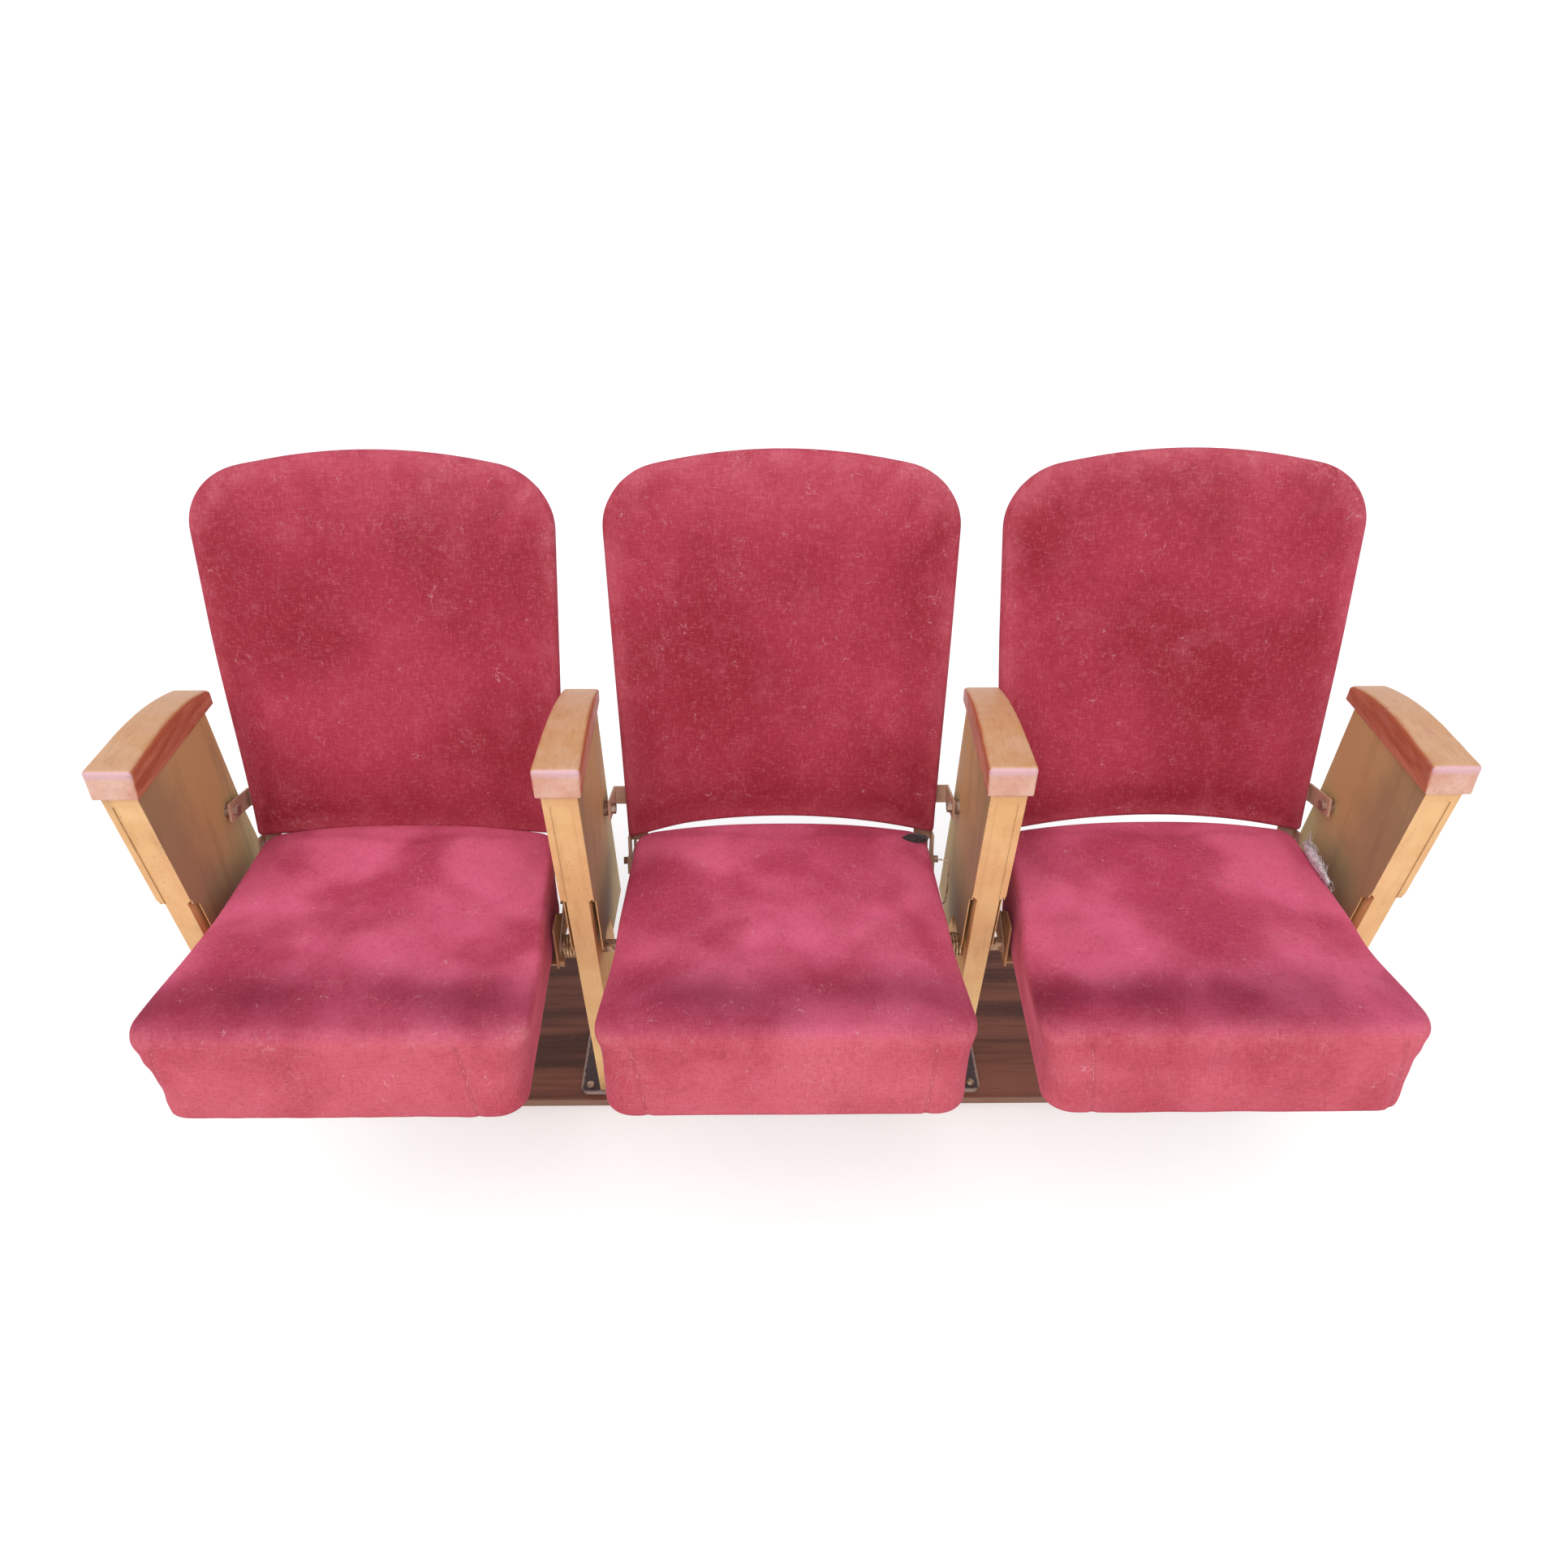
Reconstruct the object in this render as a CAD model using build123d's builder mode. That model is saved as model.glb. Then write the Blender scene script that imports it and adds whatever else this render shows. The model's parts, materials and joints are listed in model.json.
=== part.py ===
from build123d import *
from math import cos, floor, pi, radians, sin, sqrt, tan
import os

# Bank of three tip-up auditorium seats between four standards on one board.
# Millimetres. X runs along the row, +Y to the rear of the seats, +Z up.
# The origin is the centre of the board's underside.

# ---------------------------------------------------------------- row
outer_pitch = 500.0          # centre to centre of the standards at the outer seats
middle_extra = 15.0          # the middle seat's standards are this much further apart

# ---------------------------------------------------------------- board
board_depth = 350.0
board_thickness = 12.0
board_end_margin = 10.0      # board beyond the outer foot plates
board_setback = 88.0         # board's front edge behind the armrests' front faces

# ---------------------------------------------------------------- armrests
arm_height = 675.0           # top of the front end
arm_thickness = 39.0
arm_length = 231.0
arm_front_width = 57.4
arm_rear_width = 44.9
arm_flat = 75.0              # level part of the top before it falls
arm_drop = 29.0              # how far the top falls to the rear end
arm_slope = 3.0              # degrees the underside falls to the rear
arm_edge_radius = 5.0
arm_end_radius = 9.0
arm_front_radius = 2.0
arm_overhang = 8.0           # armrest in front of the leg

# ---------------------------------------------------------------- standards
leg_lean = 8.67              # degrees the leg leans back going down
leg_width = 28.0
leg_depth = 130.0
leg_sheet = 2.5
foot_width = 89.0
foot_length = 175.0
foot_thickness = 5.0
foot_toe = 3.0               # foot plate in front of the leg
foot_corner_radius = 13.0
casing_width = 42.0
casing_sheet = 1.5
casing_top_bar = 15.0        # casing's closed front above the window
casing_window_radius = 3.0
casing_lap = 1.0             # casing's front flange over the leg's face
casing_flange_length = 186.0
casing_chamfer = 6.0         # cut corner at the flange's lower end
casing_step = 12.0           # side panel's front edge behind the leg's face
casing_rear_top = 203.0      # rear edge, measured back from the armrests' front faces
casing_rear_knee = 221.0
casing_rear_foot = 256.0
casing_knee_height = 470.0
casing_foot_drop = 40.0      # casing's heel below the pivot
casing_return = 8.0          # folded rear edge
casing_coil_room = 4.0       # casing's lower edge above the coil
casing_heel_start = 52.0     # behind the pivot, where the lower edge drops to the heel

# ---------------------------------------------------------------- backs
back_setback = 200.0         # bottom edge, back from the armrests' front faces
back_bottom_height = 430.0
back_rake = 15.1             # degrees from vertical
back_side_gap = 0.9          # back's bottom corners inside the hinge wings' outer faces
back_flare = 14.6            # back's widest part beyond its bottom corners, each side
back_widest_at = 438.0       # up the back
back_length = 510.5
back_top_rise = 36.0         # crown of the top edge above its corners
back_top_radius = 62.0
back_bottom_radius = 9.0
back_arch = 26.0             # rise of the bottom edge at its middle
shell_sheet = 1.5
shell_rim = 9.0              # depth of the shell's turned rim
shell_lip = 2.0              # shell's rim outside the pad
pad_depth = 13.0             # pad behind its widest outline
pad_crown = 15.0             # pad in front of its widest outline
pad_foot_draw = 1.5          # pad's rear edge inside its outline
pad_top_flat = 42.0          # crown's level part inside the outline

# ---------------------------------------------------------------- back irons
iron_sheet = 3.0
iron_plate_lap = 25.1        # plate inside the back's bottom corner
iron_screw_inset = 12.1      # screws inside the back's bottom corner
iron_plate_height = 112.0
iron_plate_drop = 14.0       # plate below the back's bottom edge
iron_band = 25.0             # height of the tongue and tab
iron_band_centre = 52.0      # up the back
tab_bolt_forward = 34.0      # bolt in front of the pad's outline plane
tab_nose = 12.0              # tab beyond the bolt
blade_length = 49.0          # blade below the back's bottom edge
blade_width = 21.0
blade_relief = 1.0           # blade's shoulder below the shell's rim
spacer_length = 7.0
spacer_diameter = 20.0
bolt_diameter = 8.0
bolt_head = 13.0             # across flats
bolt_head_height = 6.0
bolt_grip = 4.0              # bolt's thread inside the casing wall
bolt_clearance = 0.2
iron_screw_diameter = 4.0
iron_screw_head = 8.0
iron_screw_head_height = 2.5
iron_screw_length = 12.0
iron_screw_low = 20.0        # lower screw up the back
iron_screw_spacing = 60.0

# ---------------------------------------------------------------- hinges
pivot_setback = 94.0         # pivot, back from the armrests' front faces
pivot_height = 322.0
hinge_room = 28.5            # seat's arm to the leg beside it at the outer seats
arm_plate_sheet = 2.5
arm_plate_toe = 3.0          # arm in front of the spring's tab
arm_plate_heel = 12.0        # arm behind the stop stud
arm_plate_above = 50.0
arm_plate_foot = 1.0         # arm below the spring's tab
arm_plate_shoulder = 8.0     # top edge's end behind the pivot
side_clearance = 0.5         # between the moving arm and the fixed wing
wing_sheet = 2.5
wing_eye = 12.0
wing_end = 11.0
wing_end_drop = 15.0         # wing's upper round below the blade's end
clevis_leaf = 2.0
clevis_base = 9.0
clevis_overlap = 14.0        # leaves up beside the blade
clevis_bolt_diameter = 6.0
clevis_bolt_head = 10.0
clevis_bolt_head_height = 6.0
clevis_nut_height = 2.5
stop_diameter = 8.0
stop_along = 66.0            # stop stud behind the pivot
stop_gap = 0.15
pin_nose = 12.0              # journal in the bush
pin_shank = 18.0
pin_running = 0.05           # radial clearance of the journal
pin_end = 5.5                # journal inside the arm's outer face
spigot_diameter = 10.0
spigot_length = 10.0
stub_side = 14.0
stub_chamfer = 1.5
bush_outer = 16.0
bush_flange = 20.0
bush_flange_sheet = 1.5

# ---------------------------------------------------------------- springs
wire = 3.3
coil_radius = 14.5           # to the wire's centre
coil_pitch = 4.1
coil_clearance = 0.3
coil_ease = 0.75             # share of the rise in the first and last quarter turns
spring_tail = 17.0           # straight ends
lug_sheet = 3.0
lug_height = 9.0

# ---------------------------------------------------------------- hoops
hoop_sheet = 3.0
hoop_width = 14.0
hoop_setback = 20.0          # hoop's front face behind the pad's outline plane
hoop_corner_radius = 26.0
hoop_corner_height = 5.0     # top of the corner above the back's bottom edge
hoop_arch = 25.0             # further rise at the middle
hoop_tail = 55.0             # ends below the back's bottom edge

# ---------------------------------------------------------------- seats
crown_steps = 5              # slices of a crown's rounding
seat_tilt = 3.4              # degrees the seat falls to the rear
cushion_overhang = 105.3     # cushion's rear edge behind the pivot
seat_rise = 3.5              # cushion's underside above the pivot
cushion_length = 400.0
cushion_height = 100.0       # to the top edges
cushion_crown = 17.0
cushion_side_gap = 6.5       # cushion's rear shoulder inside the seat's arms
cushion_flare = 18.0         # front shoulder beyond the rear one, each side
cushion_waist_draw = 9.0    # sides pulled in below the shoulder, each side
cushion_foot_draw = 11.0     # underside inside the shoulder, each side
cushion_front_lean = 16.0    # top front edge behind the foot
cushion_foot_round = 8.0     # underside's front edge behind the foot
cushion_rear_round = 8.0     # waist inside the rear shoulder
cushion_edge_round = 6.0     # top edges inside the shoulder
cushion_corner_radius = 32.0
cushion_top_flat = 70.0      # crown's level part inside the top edges
pan_inset = 5.0
pan_sheet = 1.5
pan_depth = 16.0
pan_lap = 19.0               # arm's foot under the pan

# ---------------------------------------------------------------- screws
foot_screw_diameter = 6.0
foot_screw_head = 12.0
foot_screw_head_height = 3.5
foot_screw_length = 14.0
foot_screw_margin = 14.0
screw_clearance = 0.1
arm_screw_diameter = 5.0
arm_screw_head = 9.0
arm_screw_head_height = 3.0
arm_screw_length = 22.0
arm_screw_first = 32.0
arm_screw_spacing = 62.0

# ---------------------------------------------------------------- worked out
front_y = -(board_depth / 2 + board_setback)
inner_x = (outer_pitch + middle_extra) / 2
outer_x = inner_x + outer_pitch
standards = [-outer_x, -inner_x, inner_x, outer_x]
seats = []
for number in range(len(standards) - 1):
    left = standards[number]
    right = standards[number + 1]
    seats.append((number + 1, (left + right) / 2, (right - left) / 2))
sides = (("left", -1), ("right", 1))
crown_turns = [pi / 2 * step / crown_steps for step in range(crown_steps + 1)]

foot_top = board_thickness + foot_thickness
arm_under = arm_height - arm_thickness
slope = tan(radians(arm_slope))
lean = tan(radians(leg_lean))
pivot_y = front_y + pivot_setback
back_y = front_y + back_setback
leg_top_y = front_y + arm_overhang

arm_plate_half = outer_pitch / 2 - leg_width / 2 - hinge_room
casing_foot = pivot_height - casing_foot_drop
panel_foot = pivot_height + coil_radius + wire / 2 + casing_coil_room
wing_in = arm_plate_half + side_clearance
wing_out = wing_in + wing_sheet
blade_in = wing_out - iron_sheet
back_foot_half = wing_out - back_side_gap
seat_forward = cushion_length - cushion_overhang
cushion_rear_half = arm_plate_half - arm_plate_sheet - cushion_side_gap
cushion_front_half = cushion_rear_half + cushion_flare
bush_bore = pin_nose + 2 * pin_running
nose_hole = pin_nose + 2 * screw_clearance
spring_start = wing_out + coil_clearance + wire / 2
shell_back = pad_depth + shell_sheet
iron_back = shell_back + iron_sheet


def under_arm(y):
    """Height of the armrests' underside at y."""
    return arm_under - (y - front_y) * slope


leg_top = under_arm(leg_top_y)


def leg_front(z):
    """Y of the leg's front face at height z."""
    return leg_top_y + (leg_top - z) * lean


def casing_rear(z):
    """Y of the casing's rear edge at height z, straight above and below its knee."""
    top = under_arm(front_y + casing_rear_top)
    if z > casing_knee_height:
        share = (z - casing_knee_height) / (top - casing_knee_height)
        return front_y + casing_rear_knee + share * (casing_rear_top - casing_rear_knee)
    share = (casing_knee_height - z) / (casing_knee_height - casing_foot)
    return front_y + casing_rear_knee + share * (casing_rear_foot - casing_rear_knee)


def back_plane(x, forward=0.0):
    """Plane of a back's outline: local x along the row, local y up the back."""
    rake = radians(back_rake)
    normal = Vector(0, -cos(rake), sin(rake))
    origin = Vector(x, back_y, back_bottom_height) + normal * forward
    return Plane(origin=origin, x_dir=(1, 0, 0), z_dir=normal)


def on_back(up, forward):
    """World (y, z) of a point up the back and in front of its outline plane."""
    point = back_plane(0).from_local_coords(Vector(0, up, forward))
    return point.Y, point.Z


def seat_plane(x, height=0.0):
    """Plane of a cushion's underside: local y to the rear, from the seat's front."""
    tilt = radians(seat_tilt)
    normal = Vector(0, sin(tilt), cos(tilt))
    rearward = Vector(0, cos(tilt), -sin(tilt))
    pivot = Vector(x, pivot_y, pivot_height)
    origin = pivot - rearward * seat_forward + normal * (seat_rise + height)
    return Plane(origin=origin, x_dir=(1, 0, 0), z_dir=normal)


def across(x):
    """Plane square to the row at x: local x is Y, local y is Z."""
    return Plane.YZ.offset(x)


def rod(x_from, x_to, y, z, diameter, mode=Mode.ADD):
    """Round bar along X inside the current part."""
    with BuildSketch(across(min(x_from, x_to))) as section:
        with Locations((y, z)):
            Circle(diameter / 2)
    extrude(section.sketch, amount=abs(x_to - x_from), mode=mode)


def slab(x_from, x_to, points, mode=Mode.ADD):
    """Plate square to the row inside the current part, from a list of (y, z)."""
    with BuildSketch(across(min(x_from, x_to))) as section:
        with BuildLine():
            Polyline(*points, close=True)
        make_face()
    extrude(section.sketch, amount=abs(x_to - x_from), mode=mode)


def bar(plane, x_from, x_to, y_from, y_to, depth, mode=Mode.ADD):
    """Block on a plane between two local x and two local y, depth along its normal."""
    with BuildSketch(plane) as section:
        with Locations(((x_from + x_to) / 2, (y_from + y_to) / 2)):
            Rectangle(abs(x_to - x_from), abs(y_to - y_from))
    extrude(section.sketch, amount=depth, mode=mode)


def write(piece, name):
    """Label a finished piece and write it."""
    piece.part.label = name
    export_step(piece.part, f"parts/{name}.step")


os.makedirs("parts", exist_ok=True)

# ---------------------------------------------------------------- board and its screws
foot_y = leg_front(foot_top) - foot_toe
foot_centre_y = foot_y + foot_length / 2
foot_screw_x = foot_width / 2 - foot_screw_margin
foot_screw_y = foot_length / 2 - foot_screw_margin
foot_screw_spots = []
for x in standards:
    for side_x in (-foot_screw_x, foot_screw_x):
        for side_y in (-foot_screw_y, foot_screw_y):
            foot_screw_spots.append((x + side_x, foot_centre_y + side_y))
board_length = 2 * (outer_x + foot_width / 2 + board_end_margin)
pilot = foot_screw_diameter / 2 + screw_clearance
foot_screw_bite = foot_screw_length - foot_thickness

with BuildPart() as base_board:
    with BuildSketch(Plane.XY):
        Rectangle(board_length, board_depth)
    extrude(amount=board_thickness)
    with BuildSketch(Plane.XY.offset(board_thickness)):
        with Locations(*foot_screw_spots):
            Circle(pilot)
    extrude(amount=-(foot_screw_bite + screw_clearance), mode=Mode.SUBTRACT)
write(base_board, "base_board")

with BuildPart() as foot_screws:
    with BuildSketch(Plane.XY.offset(foot_top)):
        with Locations(*foot_screw_spots):
            Circle(foot_screw_head / 2)
    extrude(amount=foot_screw_head_height)
    fillet(foot_screws.edges().group_by(Axis.Z)[-1], foot_screw_head_height * 0.6)
    with BuildSketch(Plane.XY.offset(foot_top)):
        with Locations(*foot_screw_spots):
            Circle(foot_screw_diameter / 2)
    extrude(amount=-foot_screw_length)
write(foot_screws, "foot_screws")


# ---------------------------------------------------------------- standards
def underside_plane(x, y, depth=0.0):
    """Plane in the armrest's underside, raised by depth along its normal."""
    tilt = radians(arm_slope)
    normal = Vector(0, sin(tilt), cos(tilt))
    origin = Vector(x, y, under_arm(y)) + normal * depth
    return Plane(origin=origin, x_dir=(1, 0, 0), z_dir=normal)


arm_screw_ys = [leg_top_y + arm_screw_first, leg_top_y + arm_screw_first + arm_screw_spacing]
coil_turns = {}
lug_spots = {}
for number, centre, half in seats:
    room = half - leg_width / 2 - wing_out - 2 * coil_clearance - wire
    coil_turns[number] = floor(room / coil_pitch)
    tail_x = spring_start + coil_turns[number] * coil_pitch
    lug_spots[number + 1] = centre + tail_x - wire / 2 - coil_clearance


def make_leg(index, x):
    """Folded channel, open to the rear, with its top plate, foot plate and spring lug."""
    with BuildPart() as leg:
        front_low = leg_front(foot_top)
        rear_top = leg_top_y + leg_depth
        outline = [
            (front_low, foot_top),
            (leg_top_y, leg_top),
            (rear_top, under_arm(rear_top)),
            (front_low + leg_depth, foot_top),
        ]
        slab(x - leg_width / 2, x + leg_width / 2, outline)
        inside = [
            (front_low + leg_sheet, foot_top),
            (leg_top_y + leg_sheet, under_arm(leg_top_y + leg_sheet) - leg_sheet),
            (rear_top + leg_sheet, under_arm(rear_top + leg_sheet) - leg_sheet),
            (front_low + leg_depth + leg_sheet, foot_top),
        ]
        inner = leg_width / 2 - leg_sheet
        slab(x - inner, x + inner, inside, mode=Mode.SUBTRACT)
        with BuildSketch(Plane.XY.offset(board_thickness)):
            with Locations((x, foot_centre_y)):
                RectangleRounded(foot_width, foot_length, foot_corner_radius)
        extrude(amount=foot_thickness)
        with BuildSketch(Plane.XY.offset(board_thickness)):
            with Locations((x, foot_centre_y)):
                with GridLocations(2 * foot_screw_x, 2 * foot_screw_y, 2, 2):
                    Circle(pilot)
        extrude(amount=foot_thickness, mode=Mode.SUBTRACT)
        for y in arm_screw_ys:
            with BuildSketch(underside_plane(x, y, leg_sheet)):
                Circle(arm_screw_diameter / 2 + screw_clearance)
            extrude(amount=-3 * leg_sheet, mode=Mode.SUBTRACT)
        spigot_hole = spigot_diameter + 2 * screw_clearance
        wall_left = x - leg_width / 2
        if index > 1:
            rod(wall_left, wall_left + leg_sheet, pivot_y, pivot_height, spigot_hole, Mode.SUBTRACT)
            lug_y = pivot_y + spring_tail + coil_clearance
            lug_low = pivot_height - coil_radius - lug_height / 2
            lug = [
                (lug_y, lug_low),
                (lug_y, lug_low + lug_height),
                (lug_y + lug_sheet, lug_low + lug_height),
                (lug_y + lug_sheet, lug_low),
            ]
            slab(lug_spots[index], wall_left, lug)
        if index < len(standards):
            wall_right = x + leg_width / 2
            rod(wall_right - leg_sheet, wall_right, pivot_y, pivot_height, spigot_hole, Mode.SUBTRACT)
    return leg


bolt_y, bolt_z = on_back(iron_band_centre, tab_bolt_forward)
flange_foot = leg_top - casing_flange_length * cos(radians(leg_lean))


def front_plane(x, z):
    """Plane on the casing's front face at height z, local y up the leg."""
    tilt = radians(leg_lean)
    normal = Vector(0, -cos(tilt), -sin(tilt))
    return Plane(origin=(x, leg_front(z) - casing_sheet, z), x_dir=(1, 0, 0), z_dir=normal)


def make_casing(index, x):
    """Folded sheet cover round the leg: side panels, front flanges, rear returns."""
    with BuildPart() as casing:
        top_y = leg_top_y - casing_sheet
        heel_y = pivot_y + casing_heel_start
        step_top = flange_foot - casing_step
        outline = [
            (top_y, under_arm(top_y)),
            (leg_front(flange_foot) - casing_sheet, flange_foot),
            (leg_front(step_top) + casing_step, step_top),
            (leg_front(panel_foot) + casing_step, panel_foot),
            (heel_y - casing_step, panel_foot),
            (heel_y + casing_step, casing_foot + casing_step),
            (casing_rear(casing_foot), casing_foot),
            (front_y + casing_rear_knee, casing_knee_height),
            (front_y + casing_rear_top, under_arm(front_y + casing_rear_top)),
        ]
        slab(x - casing_width / 2, x + casing_width / 2, outline)
        low = casing_foot - casing_step
        high = arm_height
        inner = casing_width / 2 - casing_sheet
        inside = [
            (leg_front(low), low),
            (leg_front(high), high),
            (casing_rear(high) - casing_sheet, high),
            (front_y + casing_rear_knee - casing_sheet, casing_knee_height),
            (casing_rear(low) - casing_sheet, low),
        ]
        slab(x - inner, x + inner, inside, mode=Mode.SUBTRACT)
        window = leg_width / 2 - casing_lap
        window_top = leg_top - casing_top_bar
        with BuildSketch(front_plane(x, window_top).offset(casing_sheet)):
            with Locations((0, -casing_flange_length / 2)):
                RectangleRounded(2 * window, casing_flange_length, casing_window_radius)
        extrude(amount=-2.5 * casing_sheet, mode=Mode.SUBTRACT)
        gap = casing_width / 2 - casing_return
        rear_cut = [
            (casing_rear(low) - 2 * casing_sheet, low),
            (front_y + casing_rear_knee - 2 * casing_sheet, casing_knee_height),
            (casing_rear(high) - 2 * casing_sheet, high),
            (casing_rear(high) + casing_sheet, high),
            (front_y + casing_rear_knee + casing_sheet, casing_knee_height),
            (casing_rear(low) + casing_sheet, low),
        ]
        slab(x - gap, x + gap, rear_cut, mode=Mode.SUBTRACT)
        with BuildSketch(front_plane(x, flange_foot).offset(casing_sheet)):
            for side in (-1, 1):
                with BuildLine():
                    corner = side * casing_width / 2
                    Polyline(
                        (corner - side * casing_chamfer, -casing_chamfer),
                        (corner - side * casing_chamfer, 0),
                        (corner, casing_chamfer),
                        (corner + side * casing_chamfer, casing_chamfer),
                        (corner + side * casing_chamfer, -casing_chamfer),
                        close=True,
                    )
                make_face()
        extrude(amount=-2.5 * casing_sheet, mode=Mode.SUBTRACT)
        bolt_hole = bolt_diameter + 2 * bolt_clearance
        if index > 1:
            rod(x - casing_width / 2, x, bolt_y, bolt_z, bolt_hole, Mode.SUBTRACT)
        if index < len(standards):
            rod(x, x + casing_width / 2, bolt_y, bolt_z, bolt_hole, Mode.SUBTRACT)
    return casing


def make_armrest(x):
    """Solid wood: bowed top, rounded rear end, narrower to the rear."""
    with BuildPart() as armrest:
        rear = front_y + arm_length
        with BuildSketch(across(x)):
            with BuildLine():
                level = Line((front_y, arm_height), (front_y + arm_flat, arm_height))
                bow = TangentArc(level @ 1, (rear, arm_height - arm_drop), tangent=level % 1)
                Line(bow @ 1, (rear, under_arm(rear)))
                Line((rear, under_arm(rear)), (front_y, arm_under))
                Line((front_y, arm_under), level @ 0)
            make_face()
        extrude(amount=arm_front_width / 2, both=True)
        with BuildSketch(Plane.XY.offset(arm_under - arm_thickness)):
            with BuildLine():
                Polyline(
                    (x - arm_front_width / 2, front_y),
                    (x + arm_front_width / 2, front_y),
                    (x + arm_rear_width / 2, rear),
                    (x - arm_rear_width / 2, rear),
                    close=True,
                )
            make_face()
        extrude(amount=3 * arm_thickness, mode=Mode.INTERSECT)
        rear_top = armrest.edges().filter_by(Axis.X).group_by(Axis.Y)[-1].sort_by(Axis.Z)[-1]
        fillet(rear_top, arm_end_radius)
        fillet(armrest.edges().filter_by(Axis.Z), arm_edge_radius)
        front_top = armrest.edges().filter_by(Axis.X).group_by(Axis.Y)[0].sort_by(Axis.Z)[-1]
        fillet(front_top, arm_front_radius)
        for y in arm_screw_ys:
            with BuildSketch(underside_plane(x, y)):
                Circle(arm_screw_diameter / 2 + screw_clearance)
            extrude(amount=arm_screw_length - leg_sheet + screw_clearance, mode=Mode.SUBTRACT)
    return armrest


for index, x in enumerate(standards, start=1):
    write(make_leg(index, x), f"leg_{index}")
    write(make_casing(index, x), f"casing_{index}")
    write(make_armrest(x), f"armrest_{index}")

with BuildPart() as armrest_screws:
    for x in standards:
        for y in arm_screw_ys:
            with BuildSketch(underside_plane(x, y, -leg_sheet)):
                Circle(arm_screw_head / 2)
            extrude(amount=-arm_screw_head_height)
            with BuildSketch(underside_plane(x, y, -leg_sheet)):
                Circle(arm_screw_diameter / 2)
            extrude(amount=arm_screw_length)
write(armrest_screws, "armrest_screws")


# ---------------------------------------------------------------- backs
def back_section(plane, inset):
    """Outline of a back drawn in by inset: arched foot, straight sides, crowned top."""
    with BuildSketch(plane) as section:
        shoulder = back_length - back_top_rise
        foot_x = back_foot_half - inset
        wide_x = back_foot_half + back_flare * shoulder / back_widest_at - inset
        with BuildLine():
            ThreePointArc((-foot_x, inset), (0, inset + back_arch), (foot_x, inset))
            Line((foot_x, inset), (wide_x, shoulder - inset))
            crown = (0, back_length - inset)
            ThreePointArc((wide_x, shoulder - inset), crown, (-wide_x, shoulder - inset))
            Line((-wide_x, shoulder - inset), (-foot_x, inset))
        make_face()
        fillet(section.vertices().group_by(Axis.Y)[-1], back_top_radius)
        fillet(section.vertices().group_by(Axis.Y)[0], back_bottom_radius)
    return section.sketch


iron_screw_x = back_foot_half - iron_screw_inset
iron_screw_ups = [iron_screw_low, iron_screw_low + iron_screw_spacing]
iron_screw_hole = iron_screw_diameter + 2 * screw_clearance
iron_screw_spots = []
for _, side in sides:
    for up in iron_screw_ups:
        iron_screw_spots.append((side * iron_screw_x, up))


def make_shell(x):
    """Pressed sheet tray behind the pad, its rim turned forward."""
    with BuildPart() as shell:
        extrude(back_section(back_plane(x, -shell_back), -shell_lip), amount=shell_rim)
        pocket = back_section(back_plane(x, -pad_depth), shell_sheet - shell_lip)
        extrude(pocket, amount=shell_rim, mode=Mode.SUBTRACT)
        with BuildSketch(back_plane(x, -shell_back)):
            with Locations(*iron_screw_spots):
                Circle(iron_screw_hole / 2)
        extrude(amount=shell_sheet, mode=Mode.SUBTRACT)
    return shell


def make_pad(x):
    """Upholstered pad: fullest at its outline plane, crowned in front of it."""
    with BuildPart() as pad:
        sections = [
            back_section(back_plane(x, -pad_depth), pad_foot_draw),
            back_section(back_plane(x, -pad_depth / 2), pad_foot_draw / 3),
        ]
        for turn in crown_turns:
            forward = pad_crown * sin(turn)
            sections.append(back_section(back_plane(x, forward), pad_top_flat * (1 - cos(turn))))
        loft(sections, ruled=True)
        pilot_depth = iron_screw_length - iron_sheet - shell_sheet + screw_clearance
        with BuildSketch(back_plane(x, -pad_depth)):
            with Locations(*iron_screw_spots):
                Circle(iron_screw_hole / 2)
        extrude(amount=pilot_depth, mode=Mode.SUBTRACT)
    return pad


# ---------------------------------------------------------------- back irons and hinge wings
band_low = iron_band_centre - iron_band / 2
band_high = iron_band_centre + iron_band / 2
clevis_bolt_up = -(blade_length - clevis_overlap / 2)
clevis_bolt_y, clevis_bolt_z = on_back(clevis_bolt_up, blade_width / 2 - iron_back)
clevis_in = blade_in - clevis_leaf
clevis_out = wing_out + clevis_leaf
wing_y, wing_z = on_back(-(blade_length + wing_end_drop), blade_width / 2 - iron_back)
wing_run = sqrt((wing_y - pivot_y) ** 2 + (wing_z - pivot_height) ** 2)
run_y = (wing_y - pivot_y) / wing_run
run_z = (wing_z - pivot_height) / wing_run


def along_wing(along, above):
    """World (y, z) along the wing from the pivot and above its centre line."""
    return pivot_y + run_y * along - run_z * above, pivot_height + run_z * along + run_y * above


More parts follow.
